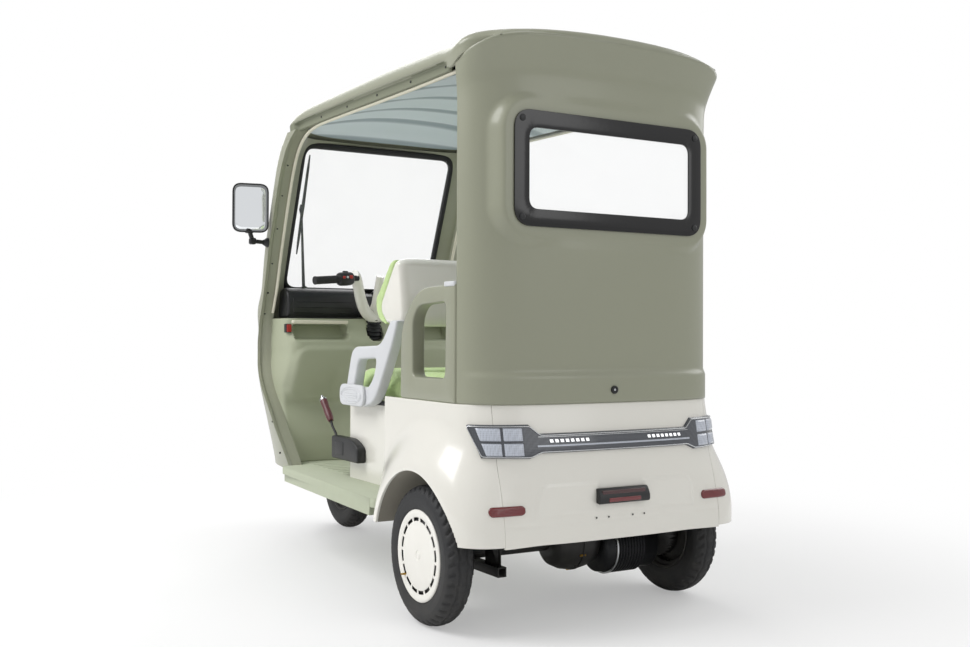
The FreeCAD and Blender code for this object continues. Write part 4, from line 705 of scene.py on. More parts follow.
def makeRoof(plan):
    # side profile carried from front to rear: set-in screw flange, bulge over it, then a long crown
    side = np.array([(0.0165, 0.000), (0.0172, 0.002), (0.0175, 0.006), (0.0175, 0.013), (0.0175, 0.020),
                     (0.0172, 0.025), (0.0155, 0.0285), (0.010, 0.0305), (0.004, 0.032), (0.001, 0.036),
                     (0.000, 0.042), (0.000, 0.050), (0.002, 0.058), (0.008, 0.070), (0.018, 0.082),
                     (0.035, 0.094), (0.060, 0.103), (0.095, 0.110), (0.140, 0.118), (0.190, 0.124),
                     (0.250, 0.129), (0.320, 0.133), (0.400, 0.1355), (0.475, 0.136)])
    noseEnd = np.array([(0, 0), (0.004, 0.06), (0.010, 0.13), (0.020, 0.22), (0.032, 0.31), (0.047, 0.40),
                        (0.075, 0.54), (0.105, 0.66), (0.135, 0.75), (0.165, 0.82), (0.205, 0.885),
                        (0.25, 0.935), (0.30, 0.975), (0.36, 1.0)])
    tailEnd = np.array([(0, 0), (0.0006, 0.10), (0.0015, 0.22), (0.003, 0.36), (0.006, 0.49), (0.011, 0.60),
                        (0.018, 0.70), (0.028, 0.78), (0.042, 0.85), (0.065, 0.91), (0.10, 0.955),
                        (0.15, 0.98), (0.22, 0.995), (0.30, 1.0)])
    front, rear = plan["front"], plan["rear"]
    middle = np.linspace(front + 0.38, rear - 0.32, 30)
    station = np.concatenate([front + noseEnd[:, 0], middle, (rear - tailEnd[:, 0])[::-1]])
    endRise = np.concatenate([noseEnd[:, 1], np.ones(30), tailEnd[::-1, 1]])
    fine = np.linspace(0, 1, 4 * len(station) - 3)
    place = np.linspace(0, 1, len(station))
    station, endRise = np.interp(fine, place, station), np.interp(fine, place, endRise)
    inset, height = side[:, 0][None], side[:, 1][None]
    y = station[:, None] * np.ones_like(inset)
    half = roofHalf(station, plan)[:, None]
    shareX = (plan["half"] - inset) / plan["half"]
    end = plan["channelEnd"] - plan["tailBow"] * (height / plan["tailHigh"]) ** 2
    channel = smoothStep(y, front + 0.14, front + 0.20) * (1 - smoothStep(y, end - 0.025, end))
    flat = np.interp(height, [0.0, plan["flange"]], [0.003, 0.0005])
    inChannel = height < plan["flange"]
    setIn = channel * inset + (1 - channel) * flat
    shareX = np.where(inChannel, (plan["half"] - setIn) / plan["half"], shareX)
    x = shareX * half
    share = np.clip(x / half, 0, 1)
    sweep = plan["sweep"] * smoothStep(y, 0.78, rear) * share ** 2.4
    lead = plan["lead"] * smoothStep(-y, 0.25, -front) * share ** 5
    yy = y - sweep + lead
    low = railHeight(yy)
    top = plan["top"] - plan["rearDrop"] * smoothStep(y, 0.3, rear)
    z = low + height / plan["crown"] * (top - low) * endRise[:, None]
    left = np.stack([x, yy, z], -1)
    right = left[:, ::-1] * np.array([-1, 1, 1])
    grid = np.concatenate([left[:, :-1], right], 1)
    piece = facing(cleaned(gridPiece("roofShell", grid, finishes["sagePanel"])), (0, 0, 1))
    # faces low in the screw channel take the darker sage as painted shade
    piece.data.materials.append(finishes["sageGrooveShade"])
    for face in piece.data.polygons:
        x, y, z = face.center
        over = z - float(railHeight(np.array(y)))
        tail = plan["channelEnd"] - plan["tailBow"] * (over / plan["tailHigh"]) ** 2 - 0.014
        grooveShaded = over < plan["grooveShadeHigh"] and front + 0.16 < y < tail
        face.material_index = int(grooveShaded and abs(x) > plan["half"] - 0.032)
    walled(piece, plan["wall"]).modifiers["wall"].use_even_offset = False
    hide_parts("roof_panel")
    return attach(piece, "chassis")


makeRoof(roofPlan)
print("rear wall and roof made")


# Nose, pillars and windscreen surround
def alongSmooth(table, position, width=0.035):
    # straight runs between pairs, averaged over a width so that no kink shows
    offsets = np.linspace(-1, 1, 13)
    weight = (1 - np.abs(offsets)) + 0.05
    values = [along(table, np.asarray(position) + width * o) * w for o, w in zip(offsets, weight)]
    return sum(values) / weight.sum()


frontPlan = {"lean": 0.42036, "screenTop": 1.693, "screenTopY": -0.593, "screenHigh": 0.591,
             "screenHalf": 0.354, "low": 0.330, "high": 1.722, "pillar": 0.060, "noseWall": 0.014,
             "bandDepth": 0.006, "cornerRadius": 0.068, "columns": 176, "rows": 136}


def screenY(z, plan=frontPlan):
    return plan["screenTopY"] - (plan["screenTop"] - z) * plan["lean"]


doorEdge = [(0.330, -0.556), (0.407, -0.618), (0.487, -0.682), (0.590, -0.747), (0.673, -0.814),
            (0.740, -0.856), (0.800, -0.874), (0.847, -0.870), (0.920, -0.842), (0.992, -0.807),
            (1.086, -0.768), (1.213, -0.714), (1.296, -0.679), (1.395, -0.636), (1.480, -0.600),
            (1.540, -0.573), (1.605, -0.535), (1.657, -0.490), (1.693, -0.440), (1.722, -0.375)]


def frontRow(z, count):
    # plan curve at one height: a squarish ellipse for the nose, boxier up at the pillars
    half = alongSmooth([(.33, .424), (.45, .440), (.60, .463), (.70, .480), (.80, .488), (.90, .476),
                        (1.0, .468), (1.102, .470), (1.25, .476), (1.742, .476)], z, 0.06)
    front = alongSmooth([(.33, -1.153), (.48, -1.162), (.64, -1.165), (.76, -1.153), (.86, -1.110),
                         (.94, -1.040), (1.01, screenY(1.01) - 0.075), (1.075, screenY(1.075) - 0.008),
                         (1.742, screenY(1.742) - 0.008)], z, 0.05)
    depth = alongSmooth([(.33, .59), (.60, .48), (.815, .40), (.94, .29), (1.064, .15), (1.742, .13)], z,
                        0.06)
    power = alongSmooth([(.33, 2.2), (.815, 2.1), (.94, 2.6), (1.064, 7), (1.3, 11), (1.60, 9.5), (1.666, 6),
                         (1.70, 3.6), (1.722, 2.6)], z, 0.015 + 0.045 * (z < 1.5))
    edge = alongSmooth(doorEdge, z, 0.008 + 0.022 * (z < 1.55))
    turn = np.linspace(0, math.pi, 1601)
    x = half * np.sign(np.cos(turn)) * np.abs(np.cos(turn)) ** (2 / power)
    y = front + depth - depth * np.abs(np.sin(turn)) ** (2 / power)
    run = np.stack([x, y], -1)[y < edge]
    return evenRun(np.vstack([[run[0, 0], edge], run, [-run[0, 0], edge]]), count)


def makeFrontShell(plan):
    # rings of plan curve by height: outer skin, the screw band across the opening's edge, inner skin
    count = plan["columns"]
    levels = np.linspace(plan["low"], plan["high"], plan["rows"])
    across = np.array([0.0, 0.03, 0.06, 0.09, 0.12, 0.40, 0.66, 0.70, 0.74, 0.80, 0.92, 0.97, 1.0])
    band = np.interp(across, [0.0, 0.03, 0.09, 0.12, 0.66, 0.72, 0.92, 1.0], [-0.003, 0, 0, 1, 1, 0, 0, -0.3])
    forward = np.column_stack([np.zeros(len(band)), -plan["bandDepth"] * band])
    across = across[1:-1, None]
    rings = []
    for z in levels:
        outer = frontRow(z, count)
        thicker = smoothStep(np.abs(outer[:, 0]), 0.33, 0.44)
        wall = plan["noseWall"] + (plan["pillar"] - plan["noseWall"]) * thicker
        inner = outer + planNormals(outer) * wall[:, None]
        right = outer[-1] + (inner[-1] - outer[-1]) * across + forward[1:-1]
        left = inner[0] + (outer[0] - inner[0]) * across + forward[::-1][1:-1]
        ring = np.vstack([outer, right, inner[::-1], left])
        rings.append(np.column_stack([ring, np.full(len(ring), z)]))
    grid = np.array(rings)
    cell = np.concatenate([grid, grid[:, :1]], 1)
    centre = (cell[:-1, :-1] + cell[1:, 1:]) / 2
    middle = plan["screenTop"] - plan["screenHigh"] / 2
    slope = math.hypot(1, plan["lean"])
    away = roundedDistance(centre[..., 0], (centre[..., 2] - middle) * slope, plan["screenHalf"] + 0.008,
                           plan["screenHigh"] / 2 * slope + 0.008, plan["cornerRadius"])
    ahead = centre[..., 1] < screenY(centre[..., 2]) + 0.11
    piece = gridPiece("frontShell", grid, finishes["sagePanel"], ringColumns=True, keep=~((away < 0) & ahead))
    facing(cleaned(piece, outwards=False, sharp=55), (0, -1, 0), count // 2)
    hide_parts("front_panel")
    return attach(piece, "chassis")


makeFrontShell(frontPlan)


def screenPath(grow, radius, lift, plan=frontPlan, count=260):
    # rounded rectangle in the windscreen's leaning plane
    slope = math.hypot(1, plan["lean"])
    halfX, halfS = plan["screenHalf"] + grow, plan["screenHigh"] / 2 * slope + grow
    corners = roundCorners([(halfX, halfS), (-halfX, halfS), (-halfX, -halfS), (halfX, -halfS)], radius, 12)
    run = evenLoop(corners, count)
    z = plan["screenTop"] - plan["screenHigh"] / 2 + run[:, 1] / slope
    return np.stack([run[:, 0], screenY(z) + lift, z], -1)


def makeGasket(plan):
    # a rubber lip carried round the windscreen: flat towards the glass, rolled over the pillar
    section = np.array([(-0.004, 0.016), (-0.004, -0.006), (0.000, -0.010), (0.012, -0.011), (0.018, -0.008),
                        (0.021, -0.002), (0.021, 0.012), (0.018, 0.017), (0.010, 0.020), (0.000, 0.020)])
    rings = [screenPath(g, plan["cornerRadius"] - 0.018 + g, lift) for g, lift in section]
    grid = np.stack(rings, 1)
    piece = cleaned(gridPiece("windscreenSeal", grid, finishes["blackRubber"], ringRows=True,
                              ringColumns=True), sharp=50)
    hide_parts("windscreen_gasket")
    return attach(piece, "chassis")


makeGasket(frontPlan)

openingTrim = {"width": 0.013, "railX": 0.444, "rear": 0.945,
               "pillar": [(0.416, -0.803, 0.990), (0.417, -0.751, 1.089), (0.418, -0.706, 1.220),
                          (0.419, -0.641, 1.379), (0.420, -0.571, 1.534), (0.422, -0.527, 1.605),
                          (0.425, -0.480, 1.657), (0.430, -0.410, 1.693), (0.436, -0.320, 1.711)]}


def makeOpeningTrims(plan):
    # cream edging: up the pillar's inner edge, round its top corner and back along the rail
    y = np.linspace(-0.215, plan["rear"], 40)
    rail = np.stack([np.full_like(y, plan["railX"]), y, railHeight(np.minimum(y, 0.93)) - 0.005], -1)
    corners = np.vstack([plan["pillar"], rail])
    path = corners.copy()
    for _ in range(3):
        path = evenRun(path, 150)
        path[2:-2] = (path[:-4] + path[1:-3] + path[2:-2] + path[3:-1] + path[4:]) / 5
    left = closedRod("openingTrimLeft", path, plan["width"] / 2, finishes["creamTrim"], 12, 1.0, up=(1, 0, 0))
    right = mirroredAcross(left, "openingTrimRight")
    both = joined("openingTrims", [left, right])
    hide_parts("door_trims")
    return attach(both, "chassis")


makeOpeningTrims(openingTrim)

screwPlan = {"pillarX": 0.448,
             "pillarZ": [0.395, 0.520, 0.690, 0.860, 0.985, 1.075, 1.200, 1.345, 1.480, 1.600],
             "railY": [-0.400, -0.150, 0.100, 0.360, 0.620, 0.860], "railIn": 0.0175, "railUp": 0.015,
             "radius": 0.0045, "sides": 10, "rise": 0.0022, "tip": 0.0026}


def makeScrews(plan):
    # small domed heads on the band, each a cone-topped ring of a few faces
    sides, r = plan["sides"], plan["radius"]
    turn = fullTurn(sides)[:, None]
    heads, faces = [], []

    def head(centre, axisU, axisV, out):
        centre, axisU, axisV, out = (np.array(values, float) for values in (centre, axisU, axisV, out))
        base = len(heads) * (2 * sides + 1)
        ring = np.cos(turn) * axisU + np.sin(turn) * axisV
        upper = centre + ring * r * 0.8 + out * plan["rise"]
        heads.append(np.vstack([centre + ring * r, upper, [centre + out * plan["tip"]]]))
        for i in range(sides):
            j = (i + 1) % sides
            faces.append([base + i, base + j, base + sides + j, base + sides + i])
            faces.append([base + sides + i, base + sides + j, base + 2 * sides])

    for sideX in (1, -1):
        for z in plan["pillarZ"]:
            y = float(alongSmooth(doorEdge, z, 0.03)) - frontPlan["bandDepth"]
            head((sideX * plan["pillarX"], y, z), (sideX, 0, 0), (0, 0, 1), (0, 1, 0))
        for y in plan["railY"]:
            x = float(roofHalf(np.array(y), roofPlan)) - plan["railIn"]
            z = float(railHeight(np.array(y))) + plan["railUp"]
            head((sideX * x, y, z), (0, sideX, 0), (0, 0, 1), (sideX, 0, 0))
    piece = cleaned(meshPiece("bandScrews", np.concatenate(heads), faces, finishes["blackPlastic"]), sharp=30)
    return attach(piece, "chassis")


makeScrews(screwPlan)
print("front shell, seal and trims made")


# Lower rear body
bodyPlan = {"half": 0.478, "depth": 0.245, "crown": 0.016, "axleY": 0.805, "wheelZ": 0.215, "flare": 0.066,
            "arch": 0.262, "reach": 0.165, "front": 0.478, "top": 0.6877, "fenderLow": 0.283,
            "skirtLow": 0.277, "seam": 0.406, "wall": 0.008, "rows": 88, "columns": 134}


def bodyBack(z):
    return alongSmooth([(.277, 1.139), (.340, 1.1435), (.461, 1.143), (.54, 1.134), (.60, 1.122),
                        (.688, 1.104)], z, 0.02)


def bodyRow(z, plan=bodyPlan, count=1500, limit=None, out=0.0):
    # plan curve of the lower body at one height, with the swelling round each wheel arch
    run = backCurve(plan, float(bodyBack(z)), plan["front"] if limit is None else limit, count)
    distance = np.hypot(run[:, 1] - plan["axleY"], z - plan["wheelZ"])
    swell = plan["flare"] * smoothStep(plan["arch"] + plan["reach"] - distance, 0, plan["reach"])
    swell = swell * smoothStep(np.abs(run[:, 0]), 0.25, plan["half"] - 0.02)
    return run + planNormals(run) * (swell + out)[:, None]


def rearPart(run, low, high):
    # the stretch of a plan curve on the rear between two x positions, from the left to the right
    rear = run[:, 1] > bodyPlan["axleY"]
    keep = rear & (run[:, 0] <= high) & (run[:, 0] >= low)
    first, last = np.flatnonzero(keep)[[0, -1]]
    ends = []
    for x, i in ((high, first), (low, last)):
        j = max(i - 1, 0) if x == high else min(i + 1, len(run) - 1)
        share = (x - run[i, 0]) / (run[j, 0] - run[i, 0]) if i != j else 0
        ends.append(run[i] + (run[j] - run[i]) * share)
    return np.vstack([[ends[0]], run[first:last + 1], [ends[1]]])


def makeFenders(plan):
    # each fender is the body's plan curve from its front edge to the seam, open round the wheel
    rows, count = plan["rows"], plan["columns"]
    levels = np.linspace(plan["fenderLow"], plan["top"], rows)
    grid = []
    for z in levels:
        run = bodyRow(z)
        cut = np.flatnonzero((run[:, 0] < plan["seam"]) & (run[:, 1] > plan["axleY"]))[0]
        share = (plan["seam"] - run[cut - 1, 0]) / (run[cut, 0] - run[cut - 1, 0])
        side = np.vstack([run[:cut], [run[cut - 1] + (run[cut] - run[cut - 1]) * share]])
        grid.append(np.column_stack([evenRun(side, count), np.full(count, z)]))
    grid = np.array(grid)
    away = np.hypot(grid[..., 1] - plan["axleY"], grid[..., 2] - plan["wheelZ"]) - plan["arch"]
    outside = away >= 0
    keep = outside[:-1, :-1] & outside[1:, :-1] & outside[:-1, 1:] & outside[1:, 1:]
    used = np.zeros_like(outside)
    touched = np.zeros_like(outside)
    for dr in (0, 1):
        for dc in (0, 1):
            used[dr:rows - 1 + dr, dc:count - 1 + dc] |= keep
            touched[dr:rows - 1 + dr, dc:count - 1 + dc] |= ~keep
    rim = used & touched
    scale = plan["arch"] / (away + plan["arch"])
    grid[..., 1] = np.where(rim, plan["axleY"] + (grid[..., 1] - plan["axleY"]) * scale, grid[..., 1])
    grid[..., 2] = np.where(rim, plan["wheelZ"] + (grid[..., 2] - plan["wheelZ"]) * scale, grid[..., 2])
    grid[..., 2] = np.maximum(grid[..., 2], plan["fenderLow"])
    left = cleaned(gridPiece("fenderLeft", grid, finishes["creamPanel"], keep=keep), outwards=False)
    facing(left, (0, 1, 0), -1)
    right = mirroredAcross(left, "fenderRight")
    both = bevelled(walled(joined("rearFenderSkins", [left, right]), plan["wall"]), 0.003, 2, 50)
    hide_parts("rear_fenders")
    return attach(both, "chassis")


makeFenders(bodyPlan)

skirtPlan = {"rows": 108, "columns": 174, "crease": 0.338, "emboss": 0.0045, "soften": 0.009, "gap": 0.0006,
             "foldDepth": 0.0008, "fieldLow": 0.352, "fieldHigh": 0.455, "lampHalf": 0.082, "lampLow": 0.405,
             "fieldSide": [(0.25, 0.304), (0.40, 0.298), (0.430, 0.291), (0.445, 0.280), (0.455, 0.258)]}


def makeSkirt(plan, body):
    # the same curve between the seams; a raised field over the number plate's place and a fold below it
    count = plan["columns"]
    grid = []
    for z in np.linspace(body["skirtLow"], body["top"], plan["rows"]):
        run = rearPart(bodyRow(z), -body["seam"] + plan["gap"], body["seam"] - plan["gap"])
        grid.append(np.column_stack([evenRun(run, count), np.full(count, z)]))
    grid = np.array(grid)
    x, z = grid[..., 0], grid[..., 2]
    sideAway = np.abs(x) - along(plan["fieldSide"], z)
    lampAway = np.minimum(plan["lampHalf"] - np.abs(x), z - plan["lampLow"])
    away = np.maximum(np.maximum(sideAway, z - plan["fieldHigh"]), lampAway)
    away = np.maximum(away, (plan["fieldLow"] - z) * 0.6)
    raised = 1 - smoothStep(away, -plan["soften"], plan["soften"] * 0.3)
    fold = np.exp(-((z - plan["crease"]) / 0.006) ** 2)
    grid[..., 1] += plan["emboss"] * raised - plan["foldDepth"] * fold
    piece = cleaned(gridPiece("skirtSkin", grid, finishes["creamPanel"]), outwards=False)
    facing(piece, (0, 1, 0))
    bevelled(walled(piece, body["wall"]), 0.0015, 2, 50)
    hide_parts("rear_skirt")
    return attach(piece, "chassis")


makeSkirt(skirtPlan, bodyPlan)
print("fenders and skirt made")


# Tail lamps
tailPlan = {"barLow": 0.5455, "barHigh": 0.604, "clusterLow": 0.531, "clusterHigh": 0.631, "neckLow": 0.276,
            "neckHigh": 0.276, "wideLow": 0.312, "wideHigh": 0.308, "endLow": 0.458, "endHigh": 0.496,
            "out": 0.010, "edge": 0.006, "bead": 0.0052, "rows": 32, "columns": 360}


def bodySurface(s, z, out, low=0.50, high=0.66):
    # the point of the body at a distance s round from the middle of the rear, at height z, moved outwards
    s, z, out = np.broadcast_arrays(np.asarray(s, float), np.asarray(z, float), np.asarray(out, float))
    heights = np.linspace(low, high, 9)
    tables = []
    for level in heights:
        run = bodyRow(level, count=900, limit=0.8)
        normal = planNormals(run)
        step = np.concatenate([[0], np.cumsum(np.linalg.norm(np.diff(run, axis=0), axis=1))])
        place = step[-1] / 2 - step
        order = np.argsort(place)
        tables.append([column[order] for column in (place, *run.T, *normal.T)])
    row = np.clip((z - heights[0]) / (heights[1] - heights[0]), 0, len(heights) - 1.001)
    below = row.astype(int)
    share = row - below
    values = []
    for k in range(1, 5):
        stack = np.stack([np.interp(s.ravel(), t[0], t[k]).reshape(s.shape) for t in tables])
        a = np.take_along_axis(stack, below[None], 0)[0]
        b = np.take_along_axis(stack, below[None] + 1, 0)[0]
        values.append(a + (b - a) * share)
    x, y, nx, ny = values
    return np.stack([x + nx * out, y + ny * out, z], -1)


def barEdges(s, plan=tailPlan):
    # lower and upper edge of the lamp bar at a distance round from the middle
    s = np.abs(s)
    low = np.interp(s, [plan["neckLow"], plan["wideLow"], plan["endLow"]],
                    [plan["barLow"], plan["clusterLow"], plan["clusterLow"] + 0.003])
    high = np.interp(s, [plan["neckHigh"], plan["wideHigh"]], [plan["barHigh"], plan["clusterHigh"]])
    return low, high


def makeLampBar(plan):
    # one housing across the back whose edges widen into the clusters; its rim rolls over like a pillow
    t, v = gridOf(plan["rows"], plan["columns"])
    side = 2 * t - 1
    reach = plan["endLow"] + (plan["endHigh"] - plan["endLow"]) * v
    pull = np.sign(side) * (plan["endHigh"] - reach) * smoothStep(np.abs(side), 0.62, 1.0)
    s = side * plan["endHigh"] - pull
    low, high = barEdges(s)
    z = low + (high - low) * v
    tall = high - low
    rim = np.minimum(np.minimum(v, 1 - v) * tall, (1 - np.abs(side)) * plan["endHigh"])
    out = plan["out"] * pillow(rim / plan["edge"]) - 0.001
    piece = cleaned(gridPiece("lampBarHousing", bodySurface(-s, z, out), finishes["smokedLens"]),
                    outwards=False)
    facing(piece, (0, 1, 0))
    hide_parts("tail_light_bar")
    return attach(piece, "chassis")


makeLampBar(tailPlan)


def makeLampOutline(plan):
    # a bright bead that follows the lamp's outline a little inside its rim
    inset = plan["bead"]
    s = np.linspace(-plan["endLow"] + inset, plan["endLow"] - inset, 300)
    low, _ = barEdges(s)
    lower = np.stack([s, low + inset], -1)
    s = np.linspace(plan["endHigh"] - inset, -plan["endHigh"] + inset, 300)
    _, high = barEdges(s)
    upper = np.stack([s, high - inset], -1)
    loop = evenLoop(np.vstack([lower, upper]), 520)
    for _ in range(2):
        loop = (np.roll(loop, 1, 0) + loop + np.roll(loop, -1, 0)) / 3
    path = bodySurface(-loop[:, 0], loop[:, 1], plan["out"] + 0.0004)
    piece = closedBead("lampOutline", np.vstack([path, path[:1]]), finishes["brightSteel"])
    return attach(piece, "chassis")


makeLampOutline(tailPlan)


def pillowPatch(name, sRange, zRange, lift, height, material, slant=(0, 0), edge=0.25, rows=14, columns=22):
    # a lens block on the body: a grid between two distances and heights that swells in its middle
    t, v = gridOf(rows, columns)
    s = sRange[0] + (sRange[1] - sRange[0]) * t + (slant[0] * (1 - t) + slant[1] * t) * (v - 0.5)
    z = zRange[0] + (zRange[1] - zRange[0]) * v
    rim = np.minimum(np.minimum(t, 1 - t), np.minimum(v, 1 - v)) / edge
    out = lift + height * pillow(rim)
    return cleaned(gridPiece(name, bodySurface(s, z, out), material), outwards=False)


cellPlan = {"rows": [(0.5400, 0.5775), (0.5835, 0.6220)], "columns": [(0.330, 0.388), (0.394, 0.446)],
            "grow": 0.014, "slant": 0.012, "sink": 0.002, "height": 0.006, "dots": 8, "dotStart": 0.117,
            "dotPitch": 0.0178, "dotHalf": 0.0055, "dotZ": (0.5775, 0.5865), "dotHeight": 0.0014,
            "strips": [(0.288, (0.5655, 0.5705), 0.001, "clearLens", 6),
                       (0.284, (0.5935, 0.5955), 0.0006, "brightSteel", 5)]}


def makeLampCells(plan, out):
    # clear cells in two rows and two columns on each side, a row of white dots and two slim strips
    cells = []
    for side in (1, -1):
        for row, heights in enumerate(plan["rows"]):
            for column, (inner, outer) in enumerate(plan["columns"]):
                outer = outer + (plan["grow"] * row if column else 0)
                cells.append(pillowPatch("cell", (side * inner, side * outer), heights, out - plan["sink"],
                                         plan["height"], finishes["clearLens"],
                                         slant=(0, side * plan["slant"] * column)))
    piece = joined("lampCells", cells)
    cleaned(piece, outwards=True)
    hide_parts("tail_lamp_lenses")
    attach(piece, "chassis")
    dots = []
    for side in (1, -1):
        for i in range(plan["dots"]):
            s = side * (plan["dotStart"] + i * plan["dotPitch"])
            dots.append(pillowPatch("dot", (s - plan["dotHalf"], s + plan["dotHalf"]), plan["dotZ"],
                                    out + 0.0004, plan["dotHeight"], finishes["ledWhite"],
                                    slant=(0.002, 0.002), edge=0.3, rows=6, columns=6))
    for half, heights, height, finish, rows in plan["strips"]:
        dots.append(pillowPatch("strip", (-half, half), heights, out + 0.0002, height, finishes[finish],
                                edge=0.4, rows=rows, columns=120))
    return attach(cleaned(joined("lampDots", dots)), "chassis")


makeLampCells(cellPlan, tailPlan["out"])
print("tail lamps made")


# Wheels
wheelPlan = {"outer": 0.215, "half": 0.046, "bead": 0.034, "rimRadius": 0.129, "pitches": 40, "pitchCells": 8,
             "sectionPoints": 66, "shoulderCut": 0.0055, "groove": 0.005, "grooveAt": 0.30, "zigzag": 0.055,
             "sipe": 0.0022, "slots": 16, "slotCells": 14, "barCells": 3, "slotLow": 0.1060,
             "slotHigh": 0.1168, "coverX": 0.0345, "coverWall": 0.0022, "behindX": 0.0365,
             "behindRadius": 0.1285}
wheelPlaces = {"front": ((0.0, -0.93, 0.215), "front_wheel", "front_tyre", "front_rim"),
               "rearLeft": ((0.4745, 0.805, 0.215), "rear_left_wheel", "rear_left_tyre", "rear_left_rim"),
               "rearRight": ((-0.4745, 0.805, 0.215), "rear_right_wheel", "rear_right_tyre",
                             "rear_right_rim")}


def makeTyre(name, centre, body, node, plan):
    # half-round section carried round the axle; the tread is cut in as a depth that depends on both
    # the place across the section and the angle: zigzag grooves round it and slanted shoulder slots
    half, outer = plan["half"], plan["outer"]
    bead, seat = plan["bead"], plan["rimRadius"]
    section = np.array([(-bead + 0.004, seat - 0.002), (-bead - 0.001, seat + 0.001),
                        (-bead - 0.005, seat + 0.010), (-half + 0.0030, 0.152), (-half + 0.0008, 0.163),
                        (-half, 0.173), (-half + 0.0012, 0.184), (-half + 0.0042, 0.194),
                        (-half + 0.010, 0.203), (-half + 0.018, 0.2088), (-0.019, 0.2130), (-0.009, 0.2146),
                        (0, outer)])
    section = np.vstack([section, section[-2::-1] * [-1, 1]])
    across = evenRun(section, plan["sectionPoints"])
    for _ in range(2):
        across[1:-1] = (across[:-2] + across[1:-1] + across[2:]) / 3
    across[:, 1] *= outer / across[:, 1].max()
    turns = plan["pitches"] * plan["pitchCells"]
    angle = fullTurn(turns)
    place = (across[:, 0] / half)[None]
    phase = angle[:, None] * plan["pitches"] / (2 * math.pi)
    wave = np.abs((phase * 0.5) % 1.0 - 0.5) * 4 - 1
    depth = np.zeros((turns, len(across)))
    treadside = smoothStep(across[:, 1], 0.192, 0.200)[None]
    for side in (-1, 1):
        away = np.abs(place - side * plan["grooveAt"] - plan["zigzag"] * wave * side)
        depth = np.maximum(depth, plan["groove"] * (1 - smoothStep(away, 0.030, 0.075)))
    shift = phase + 1.15 * np.abs(place) + 0.5 * (place > 0)
    slot = np.abs((shift % 1.0) - 0.5)
    shoulder = (1 - smoothStep(slot, 0.10, 0.19)) * smoothStep(np.abs(place), 0.50, 0.60)
    depth = np.maximum(depth, plan["shoulderCut"] * shoulder * treadside)
    cut = 1 - smoothStep(np.abs(((phase + 0.7 * place) % 1.0) - 0.5), 0.03, 0.08)
    depth = np.maximum(depth, plan["sipe"] * (cut * (np.abs(place) < 0.24)))
    rib = 0.0012 * np.exp(-((across[:, 1] - 0.150) / 0.0022) ** 2)
    rib = rib + 0.0010 * np.exp(-((across[:, 1] - 0.178) / 0.0016) ** 2)
    out = -planNormals(across)
    move = rib[None] - depth
    x = across[None, :, 0] + out[None, :, 0] * move
    r = across[None, :, 1] + out[None, :, 1] * move
    grid = np.stack([x, r * np.cos(angle)[:, None], r * np.sin(angle)[:, None]], -1) + np.array(centre)
    piece = cleaned(gridPiece(name + "Tyre", grid, finishes["tyreRubber"], ringRows=True), outwards=False)
    facing(piece, piece.data.polygons[45].center - Vector(centre), 45)
    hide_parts(node)
    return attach(piece, body)


def makeRim(name, centre, body, node, plan):
    # pressed steel rim turned round the axle, with its well, disc and hub
    b, r = plan["bead"], plan["rimRadius"]
    half = [(b - 0.014, r - 0.016), (b - 0.008, r - 0.006), (b, r - 0.003), (b + 0.003, r + 0.002),
            (b + 0.001, r + 0.006)]
    profile = [(-x, radius) for x, radius in half[::-1]] + half
    face = [(-0.004, r - 0.0165), (-0.004, 0.092), (0.004, 0.078), (0.010, 0.060), (0.010, 0.042),
            (0.026, 0.040), (0.033, 0.034), (0.034, 0.0)]
    back = [(-0.034, 0.0), (-0.033, 0.034), (-0.022, 0.040), (-0.006, 0.042), (-0.006, 0.060),
            (-0.012, 0.078), (-0.010, 0.092), (-0.009, r - 0.0165)]
    outer = turned(name + "Barrel", profile, centre, "x", finishes["rimPaint"], 72)
    walled(outer, 0.003, 0)
    disc = turned(name + "Disc", face[::-1], centre, "x", finishes["rimPaint"], 72)
    rear = turned(name + "DiscBack", back, centre, "x", finishes["rimPaint"], 72)
    both = joined(name + "Rim", [outer, disc, rear])
    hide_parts(node)
    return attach(both, body)


